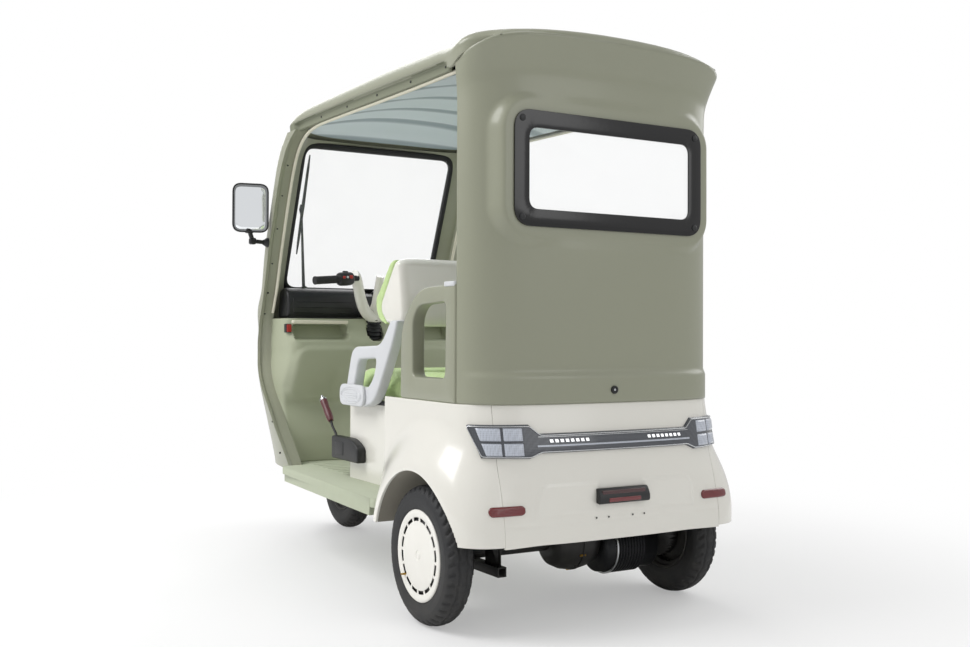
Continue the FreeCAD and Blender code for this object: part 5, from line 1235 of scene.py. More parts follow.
def makeCap(name, side, centre, body, node, plan):
    # wheel cover on a polar grid whose lines fall on the slots' edges, so the slots are real openings
    low, high = plan["slotLow"], plan["slotHigh"]
    inside = [(0.0, 0.0085), (0.0095, 0.0085), (0.0110, 0.0070), (0.0150, 0.0070), (0.0165, 0.0085),
              (0.040, 0.0088), (0.075, 0.0084), (0.100, 0.0078), (low - 0.0012, 0.0074), (low, 0.0070)]
    outside = [(high, 0.0070), (high + 0.0012, 0.0076), (0.1250, 0.0090), (0.130, 0.0100), (0.1355, 0.0103),
               (0.1390, 0.0096), (0.1410, 0.0075), (0.1408, 0.0048), (0.1390, 0.0040)]
    profile = np.array(inside + outside)
    each = plan["slotCells"]
    angle = fullTurn(plan["slots"] * each)
    shape = (len(profile), len(angle))
    r, x = profile[:, :1], profile[:, 1:]
    acrossX = np.broadcast_to(side * (plan["coverX"] + x), shape)
    grid = np.stack([acrossX, r * np.cos(angle), r * np.sin(angle)], -1) + np.array(centre)
    keep = np.ones((shape[0] - 1, shape[1]), bool)
    keep[len(inside) - 1, (np.arange(shape[1]) % each) < each - plan["barCells"]] = False
    piece = gridPiece(name + "Cover", grid, finishes["capPlastic"], ringColumns=True, keep=keep)
    facing(cleaned(piece, outwards=False, sharp=40), (side, 0, 0), 5)
    walled(piece, plan["coverWall"])
    # a flat black disc just behind the cover: it fills the slots with black as painted shade in place of the
    # wheel's depth
    flat = [(side * plan["behindX"], 0.0), (side * plan["behindX"], plan["behindRadius"])]
    behind = turned(name + "ShadeDisc", flat, centre, "x", finishes["blackPlastic"], 64)
    stem = [np.array(centre) + (side * (0.036 + d), -0.088 - 0.006 * d / 0.02, -0.072)
            for d in (0, 0.008, 0.014, 0.020)]
    valve = closedRod(name + "Valve", stem, [0.0035, 0.0035, 0.0028, 0.0026], finishes["brassPaint"], 12,
                      up=(0, 0, 1))
    both = joined(name + "CoverSet", [piece, behind, valve])
    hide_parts(node)
    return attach(both, body)


for name, (centre, body, tyreNode, rimNode) in wheelPlaces.items():
    makeTyre(name, centre, body, tyreNode, wheelPlan)
    makeRim(name, centre, body, rimNode, wheelPlan)
for name, side, node in (("rearLeft", 1, "rear_left_cap"), ("rearRight", -1, "rear_right_cap")):
    makeCap(name, side, *wheelPlaces[name][:2], node, wheelPlan)
print("wheels made")


# Seats
def readPoints(mesh):
    points = np.empty(len(mesh.vertices) * 3)
    mesh.vertices.foreach_get("co", points)
    return points.reshape(-1, 3)


def evened(piece, voxel):
    # the form built again from even cells
    remesh = piece.modifiers.new("even", "REMESH")
    remesh.mode, remesh.voxel_size = "VOXEL", voxel
    with bpy.context.temp_override(object=piece, active_object=piece):
        bpy.ops.object.modifier_apply(modifier="even")


def inflated(piece, voxel, pressure, reach, steps=20):
    # pressure cloth swells the remeshed form; no point may move further than the reach
    evened(piece, voxel)
    start = readPoints(piece.data)
    cloth = piece.modifiers.new("skin", "CLOTH")
    cloth.settings.use_pressure, cloth.settings.uniform_pressure_force = True, pressure
    cloth.settings.effector_weights.gravity = 0
    cloth.point_cache.frame_start, cloth.point_cache.frame_end = 1, steps
    for step in range(1, steps + 1):
        bpy.context.scene.frame_set(step)
        bpy.context.evaluated_depsgraph_get().update()
    shaped = piece.evaluated_get(bpy.context.evaluated_depsgraph_get()).data
    move = readPoints(shaped) - start
    length = np.linalg.norm(move, axis=1)[:, None]
    end = start + move * np.minimum(1, reach / np.maximum(length, 1e-9))
    piece.modifiers.remove(cloth)
    piece.data.vertices.foreach_set("co", end.ravel())
    bpy.context.scene.frame_set(1)


def softened(piece, times):
    # each point moves to the middle of its neighbours a few times
    work = bmesh.new()
    work.from_mesh(piece.data)
    for _ in range(times):
        bmesh.ops.smooth_vert(work, verts=work.verts, factor=0.5, use_axis_x=True, use_axis_y=True,
                              use_axis_z=True)
    work.to_mesh(piece.data)
    work.free()


cushionPlan = {"half": 0.335, "low": 0.654, "high": 0.764, "front": (-0.137, 0.303), "rear": (0.327, 0.747),
               "radius": 0.034, "inset": 0.010, "voxel": 0.005, "pressure": 4.0, "reach": 0.010,
               "bolster": 0.052, "seam": 0.0035, "quickVoxel": 0.010, "channels": (-0.165, 0.0, 0.165),
               "crown": 0.006}


def makeCushion(name, yLow, yHigh, plan):
    # a rounded block, a little under size, that the cloth swells; channels and the front seam come after
    low = (-plan["half"] + plan["inset"], yLow + plan["inset"], plan["low"])
    high = (plan["half"] - plan["inset"], yHigh - plan["inset"], plan["high"] - plan["inset"])
    piece = roundedBlock(name, low, high, plan["radius"], finishes["seatGreen"])
    inflated(piece, plan["voxel"], plan["pressure"], plan["reach"])
    softened(piece, 3)
    points = readPoints(piece.data)
    across = points[:, 0] / plan["half"]
    run = (points[:, 1] - yLow) / (yHigh - yLow)
    upper = smoothStep(points[:, 2], plan["high"] - 0.030, plan["high"] - 0.008)
    crown = plan["crown"] * (1 - np.clip(np.abs(across), 0, 1) ** 2) * (1 - (2 * run - 1) ** 2)
    front = yLow + plan["bolster"]
    groove = plan["seam"] * np.exp(-((points[:, 1] - front) / 0.004) ** 2)
    for x in plan["channels"]:
        channel = plan["seam"] * 0.8 * np.exp(-((points[:, 0] - x) / 0.0045) ** 2)
        groove = np.maximum(groove, channel * (points[:, 1] > front))
    points[:, 2] += upper * (crown - groove)
    points[:, 2] = np.clip(points[:, 2], plan["low"], plan["high"])
    points[:, 0] = np.clip(points[:, 0], -plan["half"], plan["half"])
    points[:, 1] = np.clip(points[:, 1], yLow, yHigh)
    piece.data.vertices.foreach_set("co", points.ravel())
    piece.data.materials.append(finishes["seatCream"])
    centres = np.empty(len(piece.data.polygons) * 3)
    piece.data.polygons.foreach_get("center", centres)
    cream = (centres.reshape(-1, 3)[:, 1] < front).astype(int)
    piece.data.polygons.foreach_set("material_index", cream)
    piece.data.polygons.foreach_set("use_smooth", [True] * len(piece.data.polygons))
    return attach(piece, "chassis")


driverCushion = makeCushion("driverCushion", *cushionPlan["front"], cushionPlan)
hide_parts("seat_cushions")
makeCushion("passengerCushion", *cushionPlan["rear"], cushionPlan)
print("cushions made")


# Plates with openings, used for panels, frames and rails
def outlineNormals(outline):
    # outward side of a closed outline that runs anticlockwise
    step = np.roll(outline, -1, 0) - np.roll(outline, 1, 0)
    step /= np.linalg.norm(step, axis=1)[:, None]
    return np.stack([step[:, 1], -step[:, 0]], -1)


def turnedLeft(outline):
    # the outline as given, or reversed if it runs clockwise
    x, y = outline[:, 0], outline[:, 1]
    area = np.sum(x * np.roll(y, -1) - y * np.roll(x, -1))
    return outline if area > 0 else outline[::-1]


def pierced(name, outer, holes, low, high, axis, material, radius, steps=4, sharp=50, spacing=0.006,
            reach=None):
    # a plate with openings: rows of its outlines round every edge over, and both faces are filled
    order = {"x": (1, 2, 0), "y": (0, 2, 1), "z": (0, 1, 2)}[axis]
    turn = np.linspace(0, math.pi / 2, steps)
    edge = [(radius * (1 - math.sin(t)), (reach or radius) * (1 - math.cos(t))) for t in turn]
    ladder = [(inset, high - depth) for inset, depth in edge]
    ladder += [(inset, low + depth) for inset, depth in edge[::-1]]
    work = bmesh.new()
    faces = ([], [])
    for outline, sign in [(outer, -1)] + [(hole, 1) for hole in holes]:
        outline = turnedLeft(np.array(outline, float))
        length = np.linalg.norm(np.diff(np.vstack([outline, outline[:1]]), axis=0), axis=1).sum()
        outline = evenLoop(outline, max(16, int(length / spacing)))
        normal = outlineNormals(outline)
        rows = []
        for inset, depth in ladder:
            flat = outline + normal * sign * inset
            row = np.zeros((len(flat), 3))
            row[:, order[0]], row[:, order[1]], row[:, order[2]] = flat[:, 0], flat[:, 1], depth
            rows.append([work.verts.new(point) for point in row])
        for a, b in zip(rows, rows[1:]):
            for i in range(len(a)):
                j = (i + 1) % len(a)
                work.faces.new((a[i], a[j], b[j], b[i]))
        for side, row in zip(faces, (rows[0], rows[-1])):
            side += [work.edges.get((row[i], row[(i + 1) % len(row)])) for i in range(len(row))]
    for side in faces:
        bmesh.ops.triangle_fill(work, use_beauty=True, use_dissolve=False, edges=side)
    bmesh.ops.recalc_face_normals(work, faces=work.faces)
    mesh = bpy.data.meshes.new(name)
    work.to_mesh(mesh)
    work.free()
    mesh.polygons.foreach_set("use_smooth", [True] * len(mesh.polygons))
    mesh.set_sharp_from_angle(angle=math.radians(sharp))
    mesh.materials.append(material)
    piece = bpy.data.objects.new(name, mesh)
    bpy.context.scene.collection.objects.link(piece)
    return piece


def onBothSides(pieces, name):
    # the pieces and their mirrored copies as one object
    left = joined(name + "Left", pieces)
    return joined(name, [left, mirroredAcross(left, name + "Right")])


# Quarter panels beside the rear seat
quarterPlan = {"front": 0.587, "rear": 0.9545, "low": 0.688, "high": 1.045, "inner": 0.429, "outer": 0.475,
               "radius": 0.006, "windowRadii": [0.026, 0.026, 0.026, 0.060, 0.040],
               "window": [(0.674, 0.760), (0.892, 0.760), (0.897, 0.996), (0.714, 0.988), (0.672, 0.946)]}


def makeQuarterPanels(plan):
    # a thick panel whose opening has a rounded reveal, with a pale cap where its top meets the rear wall
    f, r, low, high = plan["front"], plan["rear"], plan["low"], plan["high"]
    outline = roundCorners([(f, low), (r, low), (r, high), (f + 0.120, high - 0.003),
                            (f + 0.005, high - 0.120)],
                           [0.012, 0, 0, 0.110, 0.060], 14)
    window = roundCorners(plan["window"], plan["windowRadii"], 10)
    left = pierced("quarterLeft", outline, [window], plan["inner"], plan["outer"], "x", finishes["sagePanel"],
                   plan["radius"])
    panels = joined("quarterPanels", [left, mirroredAcross(left, "quarterRight")])
    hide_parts("quarter_panels")
    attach(panels, "chassis")
    cap = roundedBlock("railCap", (plan["outer"] - 0.034, r - 0.066, high - 0.006),
                       (plan["outer"] + 0.003, r - 0.002, high + 0.010), 0.005, finishes["whitePlastic"])
    caps = onBothSides([cap], "railCaps")
    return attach(caps, "chassis")


makeQuarterPanels(quarterPlan)

# Backrest, its pad and the side rails
backrestPlan = {"front": -0.145, "half": 0.365, "radius": 0.022,
                "shell": [(0.384, 0.925), (0.531, 0.923), (0.526, 1.010), (0.500, 1.160), (0.455, 1.167),
                          (0.400, 1.100), (0.332, 1.012), (0.334, 0.970)],
                "shellRadii": [0.016, 0.040, 0.060, 0.030, 0.022, 0.060, 0.030, 0.030],
                "pad": [(0.380, 0.929), (0.333, 0.970), (0.331, 1.012), (0.398, 1.098), (0.450, 1.162),
                        (0.414, 1.156), (0.348, 1.098), (0.284, 1.030), (0.285, 0.990), (0.315, 0.947)],
                "padRadii": [0.008, 0.030, 0.030, 0.060, 0.006, 0.016, 0.060, 0.034, 0.030, 0.024]}


def makeBackrest(plan):
    shell = roundCorners(np.array(plan["shell"]) + [plan["front"], 0], plan["shellRadii"], 8)
    piece = pierced("backrestShell", shell, [], -plan["half"], plan["half"], "x", finishes["creamPanel"],
                    plan["radius"], steps=10, reach=0.060)
    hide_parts("seat_backrest")
    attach(piece, "chassis")
    outline = roundCorners(np.array(plan["pad"]) + [plan["front"], 0], plan["padRadii"], 8)
    pad = pierced("backrestPad", outline, [], -plan["half"] + 0.006, plan["half"] - 0.006, "x",
                  finishes["seatGreen"], 0.006, steps=3)
    inflated(pad, 0.0045, 4.0, 0.003)
    softened(pad, 3)
    pad.data.polygons.foreach_set("use_smooth", [True] * len(pad.data.polygons))
    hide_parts("backrest_pad")
    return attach(pad, "chassis")


makeBackrest(backrestPlan)

railPlan = {"front": -0.145, "inner": 0.3503, "outer": 0.3923, "radius": 0.009,
            "outline": [(0.075, 0.632), (0.103, 0.720), (0.150, 0.848), (0.400, 0.856), (0.480, 0.944),
                        (0.537, 0.944), (0.497, 0.865), (0.407, 0.730), (0.345, 0.650), (0.265, 0.628)],
            "radii": [0.020, 0.060, 0.045, 0.050, 0.010, 0.010, 0.060, 0.060, 0.040, 0.020],
            "hole": [(0.167, 0.700), (0.206, 0.802), (0.367, 0.809), (0.345, 0.745), (0.295, 0.700)],
            "holeRadii": [0.014, 0.022, 0.024, 0.030, 0.030],
            "cap": [(0.060, 0.628), (0.060, 0.708), (0.280, 0.708), (0.280, 0.628)], "capOut": 0.4045,
            "ovals": (0.030, 0.023), "ovalHalf": 0.062, "ribs": (-0.008, 0.0, 0.008), "ribHalf": 0.055}


def makeRails(plan):
    # a frame with a grab loop; its end cap carries an oval with raised ribs
    shift = np.array([plan["front"], 0])
    frame = pierced("railFrame", roundCorners(np.array(plan["outline"]) + shift, plan["radii"], 10),
                    [roundCorners(np.array(plan["hole"]) + shift, plan["holeRadii"], 8)], plan["inner"],
                    plan["outer"], "x", finishes["whitePlastic"], plan["radius"], steps=6, spacing=0.005)
    cap = pierced("railCap", roundCorners(np.array(plan["cap"]) + shift, 0.036, 14), [],
                  plan["outer"] - 0.002, plan["capOut"], "x", finishes["whitePlastic"], 0.005)
    middle = np.array(plan["cap"]).mean(0) + shift
    parts = [frame, cap]
    turn = np.linspace(0, 2 * math.pi, 73)
    for reach in plan["ovals"]:
        y = middle[0] + (plan["ovalHalf"] + reach) * np.cos(turn)
        path = np.stack([np.full(len(turn), plan["capOut"]), y, middle[1] + reach * np.sin(turn)], -1)
        parts.append(closedBead("capOval", path, finishes["whitePlastic"], up=(1, 0, 0)))
    y = middle[0] + np.linspace(-plan["ribHalf"], plan["ribHalf"], 12)
    for lift in plan["ribs"]:
        path = np.stack([np.full(len(y), plan["capOut"]), y, np.full(len(y), middle[1] + lift)], -1)
        parts.append(closedRod("capRib", path, 0.0017, finishes["whitePlastic"], 8, up=(1, 0, 0)))
    rails = onBothSides(parts, "sideRails")
    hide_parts("handrails")
    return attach(rails, "chassis")


makeRails(railPlan)


edgePlan = {"outer": (0.352, -0.147, 0.745, 0.05), "inner": (0.334, -0.129, 0.727, 0.04), "rearCorner": 0.01,
            "low": 0.636, "high": 0.6525}


def makeSeatEdge(plan):
    # black rubber strip between the seat base and the cushion
    rings = []
    for half, front, rear, corner in (plan["outer"], plan["inner"]):
        corners = [(half, front), (half, rear), (-half, rear), (-half, front)]
        rings.append(roundCorners(corners, [corner, plan["rearCorner"], plan["rearCorner"], corner], 10))
    strip = pierced("seatEdge", rings[0], rings[1:], plan["low"], plan["high"], "z", finishes["blackRubber"],
                    0.0015, steps=2, spacing=0.015)
    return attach(strip, "chassis")


makeSeatEdge(edgePlan)
print("quarter panels, backrest and rails made")

# Hand brake beside the seat
brakePlan = {"inner": 0.3503, "outer": 0.3863, "x": 0.3683, "radius": 0.006,
             "outline": [(-0.205, 0.412), (0.045, 0.412), (0.045, 0.470), (-0.025, 0.500), (-0.205, 0.500)],
             "radii": [0.010, 0.010, 0.020, 0.030, 0.012],
             "rod": [(-0.187, 0.485), (-0.205, 0.508), (-0.236, 0.530), (-0.253, 0.552)],
             "top": (-0.343, 0.640)}


def makeHandBrake(plan):
    # bracket, bent rod and a tapered grip with a bright tip
    bracket = pierced("brakeBracket", roundCorners(plan["outline"], plan["radii"], 6), [], plan["inner"],
                      plan["outer"], "x", finishes["blackPlastic"], plan["radius"])
    step = roundedBlock("brakeStep", (plan["inner"] + 0.004, -0.168, 0.428),
                        (plan["outer"] + 0.002, -0.085, 0.484), 0.005, finishes["blackPlastic"])
    rod = closedRod("brakeRod", [(plan["x"], y, z) for y, z in plan["rod"]], 0.005, finishes["blackSteel"],
                    12, up=(1, 0, 0))
    foot, top = np.array((plan["x"], *plan["rod"][-1])), np.array((plan["x"], *plan["top"]))
    run = np.linspace(0, 1, 9)
    swell = np.array([0.0105, 0.0135, 0.0145, 0.0145, 0.0140, 0.0132, 0.0140, 0.0152, 0.0140])
    grip = closedRod("brakeGrip", foot + (top - foot) * run[:, None] * 0.86, swell, finishes["gripMaroon"],
                     20, up=(1, 0, 0))
    tip = closedRod("brakeTip", foot + (top - foot) * np.linspace(0.86, 1.0, 6)[:, None],
                    [0.0148, 0.0152, 0.0150, 0.0138, 0.0110, 0.0060], finishes["brightSteel"], 20,
                    up=(1, 0, 0))
    ahead = (top - foot) / np.linalg.norm(top - foot)
    button = closedRod("brakeButton", [top, top + ahead * 0.006, top + ahead * 0.011], [0.006, 0.006, 0.004],
                       finishes["brightSteel"], 14, up=(1, 0, 0))
    brake = joined("handBrakeSet", [bracket, step, rod, grip, tip, button])
    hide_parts("hand_brake")
    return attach(brake, "chassis")


makeHandBrake(brakePlan)

# Rear window frame, keyhole, plate lamp and reflectors
windowPlan = {"half": 0.3567, "low": 1.2153, "high": 1.5607, "edge": 0.052, "radius": 0.060,
              "innerRadius": 0.032, "rear": 1.1000, "front": 1.0945, "screwIn": 0.027, "screwRadius": 0.0105}


def makeWindowFrame(plan):
    h, low, high, e = plan["half"], plan["low"], plan["high"], plan["edge"]
    outer = roundCorners([(h, low), (h, high), (-h, high), (-h, low)], plan["radius"], 12)
    inner = roundCorners([(h - e, low + e), (h - e, high - e), (e - h, high - e), (e - h, low + e)],
                         plan["innerRadius"], 10)
    parts = [pierced("windowFrame", outer, [inner], plan["front"], plan["rear"], "y", finishes["blackGloss"],
                     0.0012)]
    for sideX in (1, -1):
        for z in (low + plan["screwIn"], high - plan["screwIn"]):
            x = sideX * (h - plan["screwIn"])
            r = plan["screwRadius"]
            profile = [(0, 0.0), (0, r), (0.0022, r * 0.96), (0.0034, r * 0.80), (0.0038, 0.0)]
            parts.append(turned("windowScrew", profile, (x, plan["rear"], z), "y", finishes["blackPlastic"],
                                20))
    frame = joined("rearWindowFrame", parts)
    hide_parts("rear_window_frame")
    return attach(frame, "chassis")


makeWindowFrame(windowPlan)
platePlan = {"half": 0.095, "low": 0.3865, "high": 0.4355, "back": 1.1436}


def makePlateLamp(plan):
    # angled black housing: a long dark red strip above and a shorter block below it
    back, low, high, half = plan["back"], plan["low"], plan["high"], plan["half"]
    profile = [(back + 0.003, low + 0.004), (back + 0.003, high), (back + 0.012, high - 0.002),
               (back + 0.020, high - 0.014), (back + 0.026, high - 0.027), (back + 0.026, low + 0.006),
               (back + 0.020, low + 0.001)]
    body = pierced("plateHousing", roundCorners(profile, 0.003, 4), [], -half, half, "x",
                   finishes["blackPlastic"], 0.003)
    upper = roundedBlock("plateStrip", (-half + 0.016, back + 0.013, high - 0.020),
                         (half - 0.012, back + 0.0225, high - 0.007), 0.003, finishes["redStrip"])
    lower = roundedBlock("plateBlock", (-0.058, back + 0.0180, low + 0.007),
                         (0.062, back + 0.0285, low + 0.020), 0.003, finishes["redLens"])
    whole = joined("plateLampSet", [body, upper, lower])
    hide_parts("plate_lamp")
    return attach(whole, "chassis")


makePlateLamp(platePlan)


markPlan = {"holesX": (-0.0905, -0.0455, 0.0455, 0.0905), "holesZ": 0.346, "holesOut": 0.0022,
            "hole": [(0, 0.0), (0, 0.0030), (0.0004, 0.0028), (0.0004, 0.0)],
            "lockPlace": (0.0, 1.1112, 0.727),
            "lock": [(-0.002, 0.0), (-0.002, 0.0125), (0.003, 0.0125), (0.0045, 0.0115), (0.0045, 0.0070),
                     (0.0020, 0.0062), (0.0020, 0.0)],
            "core": [(0.0022, 0.0), (0.0022, 0.0045), (0.0034, 0.0040), (0.0034, 0.0)]}


def makeSmallMarks(plan, body):
    # four bare fixing holes below the plate lamp and the round lock in the rear wall
    parts = []
    z = plan["holesZ"]
    for x in plan["holesX"]:
        y = float(bodyBack(z)) + plan["holesOut"] - body["crown"] * (x / body["half"]) ** 2
        parts.append(turned("fixingHole", plan["hole"], (x, y, z), "y", finishes["blackPlastic"], 12))
    for name, finish, sides in (("rearLock", "blackPlastic", 28), ("lockCore", "brightSteel", 18)):
        profile = plan["lock" if name == "rearLock" else "core"]
        parts.append(turned(name, profile, plan["lockPlace"], "y", finishes[finish], sides))
    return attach(joined("smallMarks", parts), "chassis")


makeSmallMarks(markPlan, bodyPlan)
print("window frame and rear lamps made")

# Outside mirrors
mirrorPlan = {"x": 0.563, "y": -0.672, "z": 1.428, "halfX": 0.076, "halfZ": 0.104, "radius": 0.038,
              "turn": -10, "depth": 0.034, "cabin": 0.475, "rim": 0.0062}


def makeMirrors(plan):
    # rounded shell with a raised rim, the glass in it, a bent post, a ball joint and a round foot
    w, h, rim = plan["halfX"], plan["halfZ"], plan["rim"]
    middle = (plan["x"], plan["y"], plan["z"])
    place = Matrix.Translation(middle) @ Matrix.Rotation(math.radians(plan["turn"]), 4, "Z")
    corners = roundCorners([(w, -h), (w, h), (-w, h), (-w, -h)], plan["radius"], 12)
    count = 120
    outline = turnedLeft(evenRun(np.vstack([corners, corners]), 2 * count + 1)[:count])
    normal = outlineNormals(outline)
    depths = [(-rim, 0.0), (-0.0050, 0.0010), (-0.0015, 0.0010), (0.0, -0.0015), (-0.0002, -0.008),
              (-0.003, -0.018), (-0.010, -0.026), (-0.022, -0.031), (-0.040, -0.0335),
              (-0.060, -plan["depth"])]
    rows = []
    for inset, depth in [(-rim, -0.0065)] + depths:
        ring = outline + normal * inset
        rows.append(np.stack([ring[:, 0], np.full(count, depth), ring[:, 1]], -1))
    rows.append(np.tile([[0.0, -plan["depth"], 0.0]], (count, 1)))
    shell = gridPiece("mirrorShell", np.array(rows), finishes["blackPlastic"], ringColumns=True)
    shell = placed(cleaned(shell, sharp=50), place)
    rows = []
    for s in (1.0, 0.8, 0.55, 0.3, 0.0):
        dome = np.full(count, -0.0052 + 0.0012 * (1 - s * s))
        rows.append(np.stack([outline[:, 0] * s - normal[:, 0] * rim, dome,
                              outline[:, 1] * s - normal[:, 1] * rim * (s > 0.5)], -1))
    rows[-1][:, [0, 2]] = 0
    rows.insert(0, rows[0] + [0, -0.001, 0])
    glass = cleaned(gridPiece("mirrorGlass", np.array(rows), finishes["mirrorFacePaintedGlow"], ringColumns=True),
                    outwards=False)
    facing(placed(glass, place), (0, 1, 0), -1)
    foot = np.array((plan["cabin"] + 0.002, plan["y"] - 0.032, plan["z"] - 0.141))
    elbow = np.array((plan["cabin"] + 0.070, plan["y"] - 0.028, plan["z"] - 0.138))
    flange = turned("mirrorFoot", [(0, 0.0), (0, 0.021), (0.006, 0.020), (0.014, 0.014), (0.020, 0.011)],
                    foot, "x", finishes["blackPlastic"], 28)
    arm = closedRod("mirrorArm", [foot + (0.010, 0, 0), (foot + elbow) / 2, elbow], 0.009,
                    finishes["blackPlastic"], 16)
    head = np.array((plan["x"], plan["y"] - 0.016, plan["z"] - 0.096))
    post = closedRod("mirrorPost", [elbow, elbow + (0.006, 0.002, 0.018), head], [0.010, 0.0095, 0.009],
                     finishes["blackPlastic"], 16, up=(0, 1, 0))
    knuckle = roundedBlock("mirrorJoint", elbow - 0.014, elbow + 0.014, 0.0075, finishes["blackPlastic"])
    seat = roundedBlock("mirrorSeat", (plan["x"] - 0.017, plan["y"] - 0.030, plan["z"] - 0.106),
                        (plan["x"] + 0.017, plan["y"] - 0.004, plan["z"] - 0.086), 0.006,
                        finishes["blackPlastic"])
    shells = onBothSides([shell, flange, arm, post, knuckle, seat], "mirrorShells")
    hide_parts("mirror_housings")
    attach(shells, "chassis")
    glasses = onBothSides([glass], "mirrorGlasses")
    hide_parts("mirror_glasses")
    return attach(glasses, "chassis")


makeMirrors(mirrorPlan)

# Steering: risers, grips and pods on the turning bar, boot and shelf on the cabin
barPlan = {"inner": (0.130, -0.5347, 1.138), "outer": (0.345, -0.4947, 1.120), "grip": 0.118, "rake": 20,
           "clampFoot": (0, -0.930 + 0.735 * 0.36397, 0.950),
           "riser": [(0.0, -0.650, 0.972), (0.026, -0.640, 0.976), (0.060, -0.622, 0.998),
                     (0.086, -0.601, 1.040), (0.106, -0.582, 1.090), (0.122, -0.563, 1.126),
                     (0.134, -0.548, 1.150), (0.146, -0.540, 1.154)],
           "buttons": [(-0.052, 0.0075, "redButton"), (-0.034, 0.0045, "whitePlastic"),
                       (-0.017, 0.0055, "redButton")], "lever": 0.130}


def steeringAxis(degrees):
    return np.array((0, math.sin(math.radians(degrees)), math.cos(math.radians(degrees))))


def makeBar(plan):
    # cream arms rise from the clamp and turn outwards; the black grips are ribbed, with a lever ahead of each
    path = np.array(plan["riser"])
    fine = np.linspace(0, 1, 26)
    coarse = np.linspace(0, 1, len(path))
    path = np.stack([np.interp(fine, coarse, path[:, k]) for k in range(3)], -1)
    for _ in range(4):
        path[1:-1] = (path[:-2] + path[1:-1] + path[2:]) / 3
    thick = np.interp(fine, [0, 0.4, 0.8, 1], [0.027, 0.0250, 0.0225, 0.0200])
    arm = closedRod("riser", path, thick, finishes["creamPanel"], 20)
    inner, outer = np.array(plan["inner"]), np.array(plan["outer"])
    run = (outer - inner) / np.linalg.norm(outer - inner)
    start = outer - run * plan["grip"]
    bar = closedRod("barTube", [inner, (inner + start) / 2, start], 0.012, finishes["blackSteel"], 16)
    share = np.linspace(0, 1, 64)
    ribs = 0.0162 + 0.0009 * (np.sin(share * 30 * math.pi) > 0)
    ribs = ribs + 0.0035 * (1 - smoothStep(share, 0.0, 0.05)) + 0.0015 * smoothStep(share, 0.93, 0.97)
    grip = closedRod("grip", start + (outer - start) * share[:, None], ribs, finishes["blackRubber"], 24)
    pod = closedRod("pod", [start - run * d for d in (0.070, 0.067, 0.060, 0.032, 0.008, 0.002, 0.0)],
                    [0.020, 0.0255, 0.0285, 0.0300, 0.0285, 0.0255, 0.020], finishes["blackPlastic"], 24)
    parts = [arm, bar, grip, pod]
    for shift, size, tone in plan["buttons"]:
        spot = start + run * shift + (0, 0.0270, 0.006)
        parts.append(roundedBlock("button", spot - size, spot + size, size * 0.45, finishes[tone]))
    spot = start + run * -0.034 + (0, 0.002, 0.0290)
    parts.append(roundedBlock("switch", spot - (0.011, 0.006, 0.004), spot + (0.011, 0.006, 0.0045), 0.002,
                              finishes["blackPlastic"]))
    pivot = start - run * 0.025 + (0, -0.030, -0.002)
    parts.append(closedRod("leverSeat", [start - run * 0.025, pivot], 0.008, finishes["blackPlastic"]))
    share = np.linspace(0, 1, 14)
    bend = 0.004 * (share - np.sin(share * math.pi))
    lever = pivot + run * plan["lever"] * share[:, None] + np.outer(bend, (0, 1, 0))
    parts.append(closedRod("lever", lever, np.interp(share, [0, 0.9, 1], [0.0048, 0.0042, 0.0052]),
                           finishes["blackSteel"], 12, flatten=0.7))
    sides = onBothSides(parts, "barSides")
    axis, foot = steeringAxis(plan["rake"]), np.array(plan["clampFoot"])
    clamp = closedRod("barClamp", [foot + axis * d for d in (0, 0.004, 0.050, 0.090, 0.215)],
                      [0.024, 0.0280, 0.0270, 0.0200, 0.0170], finishes["creamPanel"], 28, up=(1, 0, 0))
    whole = joined("handlebarSet", [sides, clamp])
    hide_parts("handlebar")
    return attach(whole, "steering")


makeBar(barPlan)


bootPlan = {"foot": (0, -0.675, 0.915), "sink": 0.030, "long": 0.100, "fold": 0.0045, "folds": 6,
            "hole": 0.0195}


def makeBoot(plan, rake):
    # folded rubber boot round the column above the shield
    axis = steeringAxis(rake)
    foot = np.array(plan["foot"]) - axis * plan["sink"]
    share = np.linspace(0, 1, 41)
    radius = np.interp(share, [0, 0.1, 1], [0.046, 0.044, 0.026])
    radius = radius + plan["fold"] * np.sin(share * 2 * plan["folds"] * math.pi)
    path = foot + axis * plan["long"] * share[:, None]
    rings, hole = rounds(path, radius, 28, up=(1, 0, 0)), rounds(path, plan["hole"], 28, up=(1, 0, 0))
    grid = np.concatenate([hole[:1], rings, hole[-1:]])
    boot = cleaned(gridPiece("columnBoot", grid, finishes["blackRubber"], ringColumns=True), sharp=60)
    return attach(boot, "chassis")


makeBoot(bootPlan, barPlan["rake"])

dashPlan = {"rear": -0.706, "half": 0.386, "split": 0.046, "lid": (0.075, 0.362, 0.988, 1.072),
            "lidCorner": 0.016,
            "face": [(0.968, -0.001), (0.985, 0.0055), (1.010, 0.0098), (1.045, 0.0063), (1.080, -0.008)],
            "lines": [(1.036, 0.0075), (1.012, 0.0102)], "lineX": (0.090, 0.345)}


